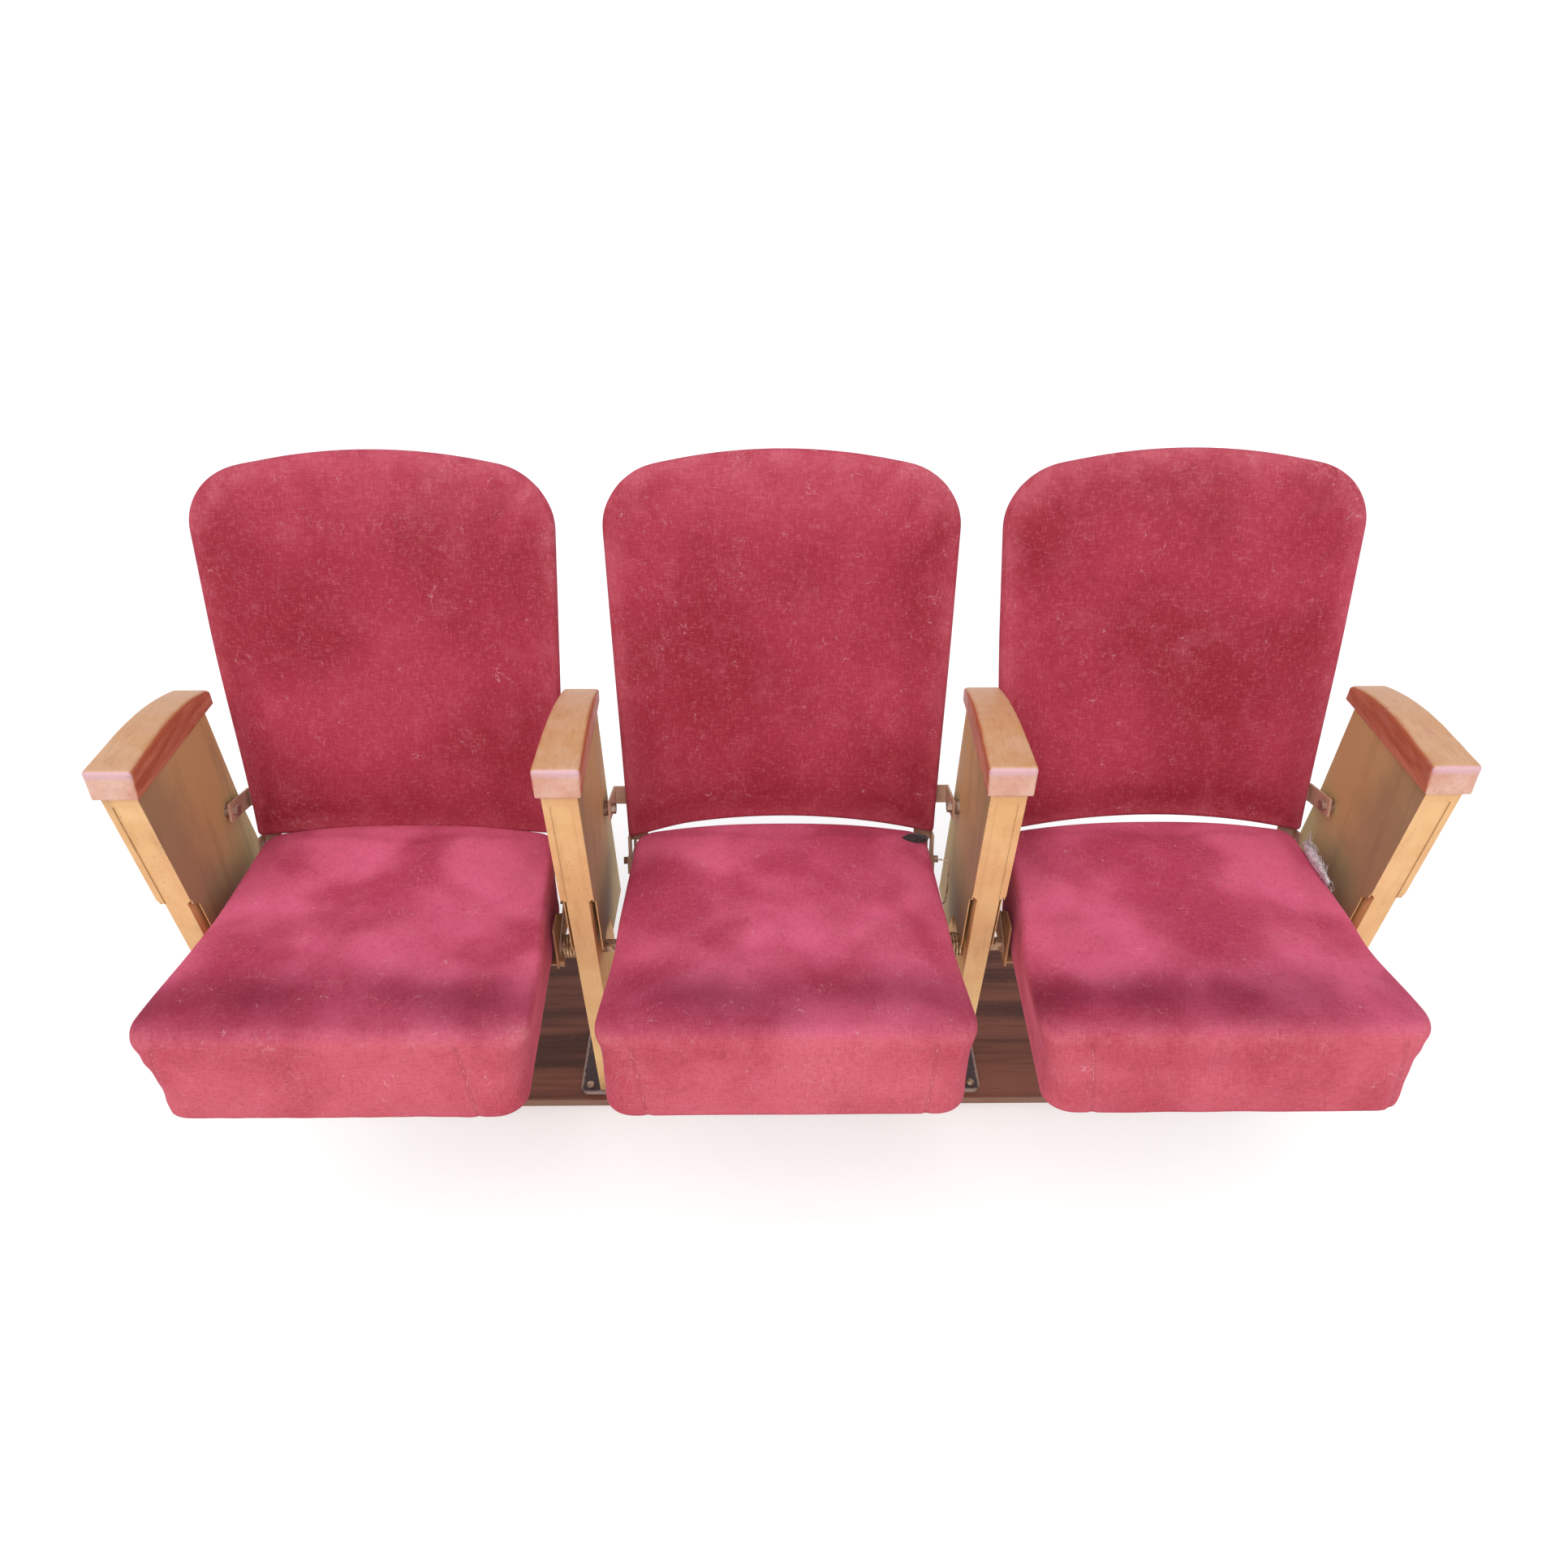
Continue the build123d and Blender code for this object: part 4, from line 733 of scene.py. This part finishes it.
def finish_cushion(number, model):
    """Cushion's cover. Its sides are pushed out by the seat's own bulges, its top rippled
    and pressed in a little; each front seam is a groove with a ring of radial puckers round
    its top. The bulges fade out ahead of the hinge wings, which the tipped seat passes."""
    piece = copy_of(model, f"cushion_cover_{number}")
    x, y, z = points_of(piece).T
    fading = 1 - smooth_step(y, 0.15, 0.232)
    shoulders, middle = 1 - smooth_step(y, 0.04, 0.17), smooth_step(y, 0.04, 0.15)
    for at, bulges in ((shoulders, FRONT_BULGE), (middle, SIDE_BULGE)):
        left, right = bulges[number]
        reach = right * smooth_step(x, 0.10, 0.20) - left * smooth_step(-x, 0.10, 0.20)
        x = x + at * fading * smooth_step(z, 0.012, 0.085) * reach
    bed = np.clip(1 - (x / 0.2) ** 2, 0, 1) * np.clip(1 - ((y - 0.2) / 0.19) ** 2, 0, 1)
    above = smooth_step(z, 0.085, 0.105)
    z = z + above * (0.0016 * ripple(x, y, 40 + number) * bed**0.3 - 0.003 * bed * (number != 2))
    front = smooth_step(0.05 - y, 0.0, 0.03)
    wall = front * (1 - smooth_step(z, 0.088, 0.100))
    y = y + front * 0.0012 * ripple(x * 1.4, z * 2.0, 60 + number)
    seam = np.full_like(x, NO_SEAM)
    for at, lean in FRONT_SEAMS[number]:
        away = x - at - math.copysign(lean, at * lean) * (1 - z / CUSHION_EDGE)
        y = y + bump(away, 0.0, SEAM_WIDTH) * wall * SEAM_GROOVE
        corner = np.hypot(away - math.copysign(0.012, at), (z - 0.085) * 0.8)
        angle = np.arctan2(z - 0.085, away)
        y = y + PUCKER_DEPTH * bump(corner, PUCKER_REACH, 0.014) * np.sin(7 * angle + number) * front
        seam = np.minimum(seam, np.abs(away) + NO_SEAM * (1 - wall))
    edge = bump(z, 0.097, 0.010) * front
    corners = smooth_step(np.abs(x), 0.16, 0.205) * smooth_step(0.06 - y, 0.0, 0.05)
    roll = smooth_step(np.abs(x), 0.188, 0.208) * bump(z, 0.094, 0.012)
    # Partly rubbing, partly a painted highlight: pale along the front's top edge, its corners, beside the
    # seams, on the front wall and along the side rolls.
    worn = edge * 0.45 + corners * edge * 0.3 + bump(seam, 0.0, 0.006) * 0.4 + wall * 0.15 + roll * 0.35
    # Painted shade: a dark band across the top just behind its front edge; the shade numbers also darken the
    # skirt's foot.
    front_band_shade = bump(y, 0.065, 0.045) * above * (0.55 + 0.45 * ripple(x, y, 90 + number, 0.10, 0.30))
    paint_points(
        piece, worn=np.clip(worn, 0, 1), seam=seam, upright=1 - smooth_step(z, 0.090, 0.103),
        shade=np.clip(bump(z, -0.013, 0.003) * 0.5 + front_band_shade * 1.25, 0, 1),
    )
    move_points(piece, np.stack([x, y, z], 1) @ SEAT_AXES + seat_origin(number))
    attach(piece, f"seat_{number}")
    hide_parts(f"seat_cushion_{number}")


def finish_pad(number, model):
    """Back pad's cover: faint hollows, a pale rim partly rubbed and partly a painted highlight, dusty head,
    painted shade at its foot and rear edge.
    """
    piece = copy_of(model, f"back_cover_{number}")
    x, up, out = points_of(piece).T
    ahead = smooth_step(out, 0.004, 0.012)
    out = out + ahead * 0.0012 * ripple(x, up, 80 + number)
    x, up = spread_back(number, x, up)
    rim = 1 - smooth_step(out, 0.002, 0.0115)
    head = smooth_step(up, BACK_LENGTH - 0.13, BACK_LENGTH)
    foot = 1 - smooth_step(up, 0.02, 0.16)
    paint_points(
        piece, worn=np.clip(rim * 0.45 + head * 0.25, 0, 1), seam=np.full_like(x, NO_SEAM), upright=rim,
        shade=np.clip(0.18 * foot + (1 - smooth_step(out, -0.008, -0.004)) * 0.3, 0, 1),
    )
    move_points(piece, np.stack([x, up, out], 1) @ BACK_AXES + back_origin(number))
    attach(piece, "row")
    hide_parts(f"back_pad_{number}")


def back_shell(number):
    """Pressed sheet shell that carries a back pad."""
    piece = new_piece(f"pressed_shell_{number}", *cube_skin(61, 71, 9, shell_place), "shell")
    x, up, out = points_of(piece).T
    x, up = spread_back(number, x, up)
    move_points(piece, np.stack([x, up, out], 1) @ BACK_AXES + back_origin(number))
    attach(piece, "row")
    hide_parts(f"back_shell_{number}")


def dress_soft_parts():
    """Three cushions and three back pads with their shells; each kind is swollen once."""
    cushion, pad = cushion_model(), pad_model()
    for number in SEATS:
        finish_cushion(number, cushion)
        finish_pad(number, pad)
        back_shell(number)
    for model in (cushion, pad):
        bpy.data.objects.remove(model)


# ---------------------------------------------------------------- armrests
ARM_LENGTH = 0.231
ARM_TOP = 0.675
ARM_THICKNESS = 0.039
ARM_FLAT = 0.075
ARM_DROP = 0.029
ARM_NOSE = 0.012
ARM_FRONT_HALF = 0.0287
ARM_REAR_HALF = 0.02245
ARM_EDGE = 0.0062
ARM_LOW_EDGE = 0.0020
ARM_SLOPE = math.tan(math.radians(3.0))


def armrest_skin(index):
    """Armrest: a box rounded at every edge, then bent. Its top is level, falls along an arc
    and rolls over at the rear; it narrows to the rear and towards its underside."""
    middle = STANDARD_X[index - 1]
    bow = ((ARM_LENGTH - ARM_FLAT) ** 2 + ARM_DROP**2) / (2 * ARM_DROP)

    def place(a, b, c):
        half = np.array([ARM_FRONT_HALF, ARM_LENGTH / 2, ARM_THICKNESS / 2]).reshape(3, 1, 1)
        box = np.sin(np.stack([a, b, c]) * math.pi / 2) * half
        radius = ARM_LOW_EDGE + (ARM_EDGE - ARM_LOW_EDGE) * smooth_step(c, -0.7, 0.3)
        core = np.clip(box, radius - half, half - radius)
        out = box - core
        box = core + out / np.maximum(np.linalg.norm(out, axis=0), 1e-9) * radius
        x, y, z = box[0], box[1] + ARM_LENGTH / 2, box[2] / ARM_THICKNESS + 0.5
        past = np.clip(y - ARM_FLAT, 0, None)
        end = np.clip(y - (ARM_LENGTH - ARM_NOSE), 0, ARM_NOSE)
        top = ARM_TOP - (bow - np.sqrt(bow**2 - past**2)) - (ARM_NOSE - np.sqrt(ARM_NOSE**2 - end**2)) * 0.8
        under = ARM_TOP - ARM_THICKNESS - y * ARM_SLOPE
        x = x * (1 - (1 - ARM_REAR_HALF / ARM_FRONT_HALF) * y / ARM_LENGTH) * (1 - 0.08 * (1 - z) ** 1.5)
        x = x + 0.0004 * ripple(y, z * 0.04, 200 + index, 0.02, 0.08) * np.sign(x)
        return middle + x, ARM_FRONT_Y + y, under + (top - under) * z

    piece = new_piece(f"armrest_wood_{index}", *cube_skin(37, 121, 27, place), "varnish")
    x, y, z = points_of(piece).T
    normal = np.zeros(len(x) * 3, np.float32)
    piece.data.vertices.foreach_get("normal", normal)
    side, ahead, up = normal.reshape(-1, 3).T
    chipped = 0.0016 * ripple(x, y, 230 + index, 0.008, 0.05)
    line = ARM_TOP - 0.012 - 0.004 * np.abs(ripple(y, y, 260 + index, 0.01, 0.05))
    band = smooth_step(z - line, 0.0, 0.004) * smooth_step(np.abs(side), 0.6, 0.9)
    rim = smooth_step(np.minimum(np.maximum(np.abs(side), -ahead), up), 0.1, 0.4)
    # The edge numbers include a painted highlight line along the front's top edge.
    paint_points(
        piece, top=smooth_step(up + chipped * 40, 0.45, 0.80), front=smooth_step(-ahead, 0.35, 0.75),
        edge=np.clip(rim + band + bump(z, ARM_TOP - 0.006, 0.004) * smooth_step(-ahead, 0.4, 0.7), 0, 1),
    )
    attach(piece, "row")
    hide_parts(f"armrest_{index}")


# ---------------------------------------------------------------- damage
def lump(name, middle, size, seed, finish):
    """Crumpled lump: a cube's skin blown up to a ball, scaled, its radius varied by ripples."""
    def place(a, b, c):
        ball = np.stack([a, b, c])
        ball = ball / np.linalg.norm(ball, axis=0)
        swell = 1 + 0.22 * ripple(ball[0] * 0.1 + ball[2] * 0.07, ball[1] * 0.1 - ball[2] * 0.05, seed)
        return [middle[i] + ball[i] * size[i] * swell for i in range(3)]

    return new_piece(name, *cube_skin(17, 17, 17, place), finish)


def torn_corner():
    """Stuffing along the third cushion's rear right shoulder: a crumpled core under 150
    curled fibres, each a straight line bent by growing sideways waves. The second cushion
    shows a scrap of dark lining."""
    chance = np.random.default_rng(7)
    root = np.array([PIVOTS[3][0] + 0.199, -0.140, 0.438])
    count, length = 150, 12
    share = np.linspace(0, 1, length)[None, :, None]
    run = chance.uniform(-1, 1, (count, 1, 1))
    start = root + run * (-0.001, 0.040, 0.007)
    start = start + chance.uniform(-1, 1, (count, 1, 3)) * (0.004, 0.004, 0.005)
    away = chance.normal(0, 1, (count, 1, 3)) * (0.003, 0.007, 0.006) + (0.003, -0.002, -0.003)
    wave = chance.normal(0, 1, (count, 1, 3)) * (0.0015, 0.004, 0.004)
    paths = start + away * share + wave * share * np.sin(share * 7 + chance.uniform(0, 6, (count, 1, 1)))
    limit = PIVOTS[3][0] + 0.2060
    paths[:, :, 0] = np.minimum(paths[:, :, 0], limit - 0.0005 * chance.uniform(0, 1, (count, 1)))
    strands = new_piece("torn_stuffing_fibres", *tubes(paths, 0.00038, 5), "stuffing")
    core = lump("torn_stuffing", root, (0.0055, 0.041, 0.008), 11, "stuffing")
    dark = lump("torn_lining", (PIVOTS[2][0] + 0.181, -0.086, 0.4385), (0.018, 0.008, 0.006), 12, "lining")
    for piece, number in ((strands, 3), (core, 3), (dark, 2)):
        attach(piece, f"seat_{number}")


def wire_hook():
    """Thin wire hooked over the second seat's right hinge wing: out, down beside the casing
    and back in, its corners rounded by averaging neighbours along the path."""
    corners = np.array([
        (0.2085, -0.125, 0.4335), (0.2230, -0.125, 0.4310), (0.2250, -0.126, 0.3890),
        (0.2235, -0.127, 0.3600), (0.2105, -0.128, 0.3500),
    ])
    place = np.linspace(0, 4, 81)
    path = np.stack([np.interp(place, range(5), corners[:, i]) for i in range(3)], 1)
    for _ in range(14):
        path[1:-1] = (path[:-2] + 2 * path[1:-1] + path[2:]) / 4
    path[:, 0] += PIVOTS[2][0]
    piece = new_piece("wire_hook", *tubes(path[None], 0.0010, 8), "spring")
    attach(piece, "row")


# ---------------------------------------------------------------- dressing the row
def dress_hard_parts():
    """Every CAD node that stays shown gets its finish."""
    wear("veneer", "base_board")
    wear("steel", "foot_screws", "armrest_screws", "iron_screws")
    wear("steel", "back_bolts", "back_spacers", "clevis_bolts")
    for index in STANDARDS:
        wear("leg", f"leg_{index}")
        wear("casing", f"casing_{index}")
        armrest_skin(index)
    for number in SEATS:
        wear("pan", f"seat_pan_{number}")
        wear("journal", f"pivot_stub_{number}", f"pivot_pin_{number}")
        wear("spring", f"seat_spring_{number}")
        wear("brass", f"hinge_bushes_{number}")
        irons = [f"{part}_{side}_{number}" for part in ("back_iron", "hinge_wing") for side in SIDES]
        wear("iron", f"back_hoop_{number}", *irons)


# ---------------------------------------------------------------- studio
CAMERA_AT = (-0.0235, -1.3466, 1.4229)
CAMERA_TURN = (54.496, -0.047, -0.501)
PHOTO_SIDE = 1932
FOCAL_PIXELS = 1452.24
PRINCIPAL = (952.27, 971.02)


def seen_white(web):
    """1 for rays that show a background: from the camera, off metal or through glass."""
    camera, glossy, clear = (
        web.node("ShaderNodeLightPath", {}, (), name)
        for name in ("Is Camera Ray", "Is Glossy Ray", "Is Transmission Ray")
    )
    return camera.most(glossy).most(clear)


def studio():
    """White surroundings, a pale floor that keeps the shadow, two broad soft lamps and the
    photograph's camera."""
    scene = bpy.context.scene
    scene.view_settings.view_transform = "Standard"
    bpy.ops.mesh.primitive_plane_add(size=200, location=(0, 0, -0.0002))
    floor = bpy.context.object
    floor.name = "floor"
    pale = Finish("pale_floor")
    glow = pale.mix(seen_white(pale), (0, 0, 0), (164, 165, 168))
    pale.put(pale.shader.inputs["Base Color"], (0.84, 0.84, 0.84, 1.0))
    pale.put(pale.shader.inputs["Roughness"], 0.95)
    pale.put(pale.shader.inputs["Specular IOR Level"], 0.0)
    pale.put(pale.shader.inputs["Emission Color"], glow)
    pale.put(pale.shader.inputs["Emission Strength"], 1.0)
    floor.data.materials.append(pale.material)
    world = bpy.data.worlds.new("studio_world")
    scene.world = world
    world.use_nodes = True
    sky = Web(world.node_tree)
    soft = sky.node("ShaderNodeBackground", {}, [(0.98, 0.99, 1.0, 1.0), 0.62])
    white = sky.node("ShaderNodeBackground", {}, [(1.0, 1.0, 1.0, 1.0), 1.0])
    shown = sky.node("ShaderNodeMixShader", {}, [seen_white(sky), soft, white])
    sky.put(sky.tree.nodes["World Output"].inputs["Surface"], shown)
    lamps = (("key", 1.25, 50, (0.35, 0.75, -1.0)), ("fill", 0.45, 70, (-0.6, 0.9, -0.5)))
    for name, power, spread, towards in lamps:
        lamp = bpy.data.lights.new(name, "SUN")
        lamp.energy, lamp.angle = power, math.radians(spread)
        holder = bpy.data.objects.new(name, lamp)
        holder.rotation_euler = Vector(towards).to_track_quat("-Z", "Y").to_euler()
        scene.collection.objects.link(holder)
    camera = bpy.data.cameras.new("camera")
    camera.sensor_width = 36
    camera.lens = FOCAL_PIXELS / PHOTO_SIDE * camera.sensor_width
    camera.shift_x = (PHOTO_SIDE / 2 - PRINCIPAL[0]) / PHOTO_SIDE
    camera.shift_y = (PRINCIPAL[1] - PHOTO_SIDE / 2) / PHOTO_SIDE
    camera.clip_end = 300
    eye = bpy.data.objects.new("camera", camera)
    eye.location = CAMERA_AT
    eye.rotation_euler = Euler([math.radians(turn) for turn in CAMERA_TURN])
    scene.collection.objects.link(eye)
    scene.camera = eye


dress_hard_parts()
dress_soft_parts()
torn_corner()
wire_hook()
studio()
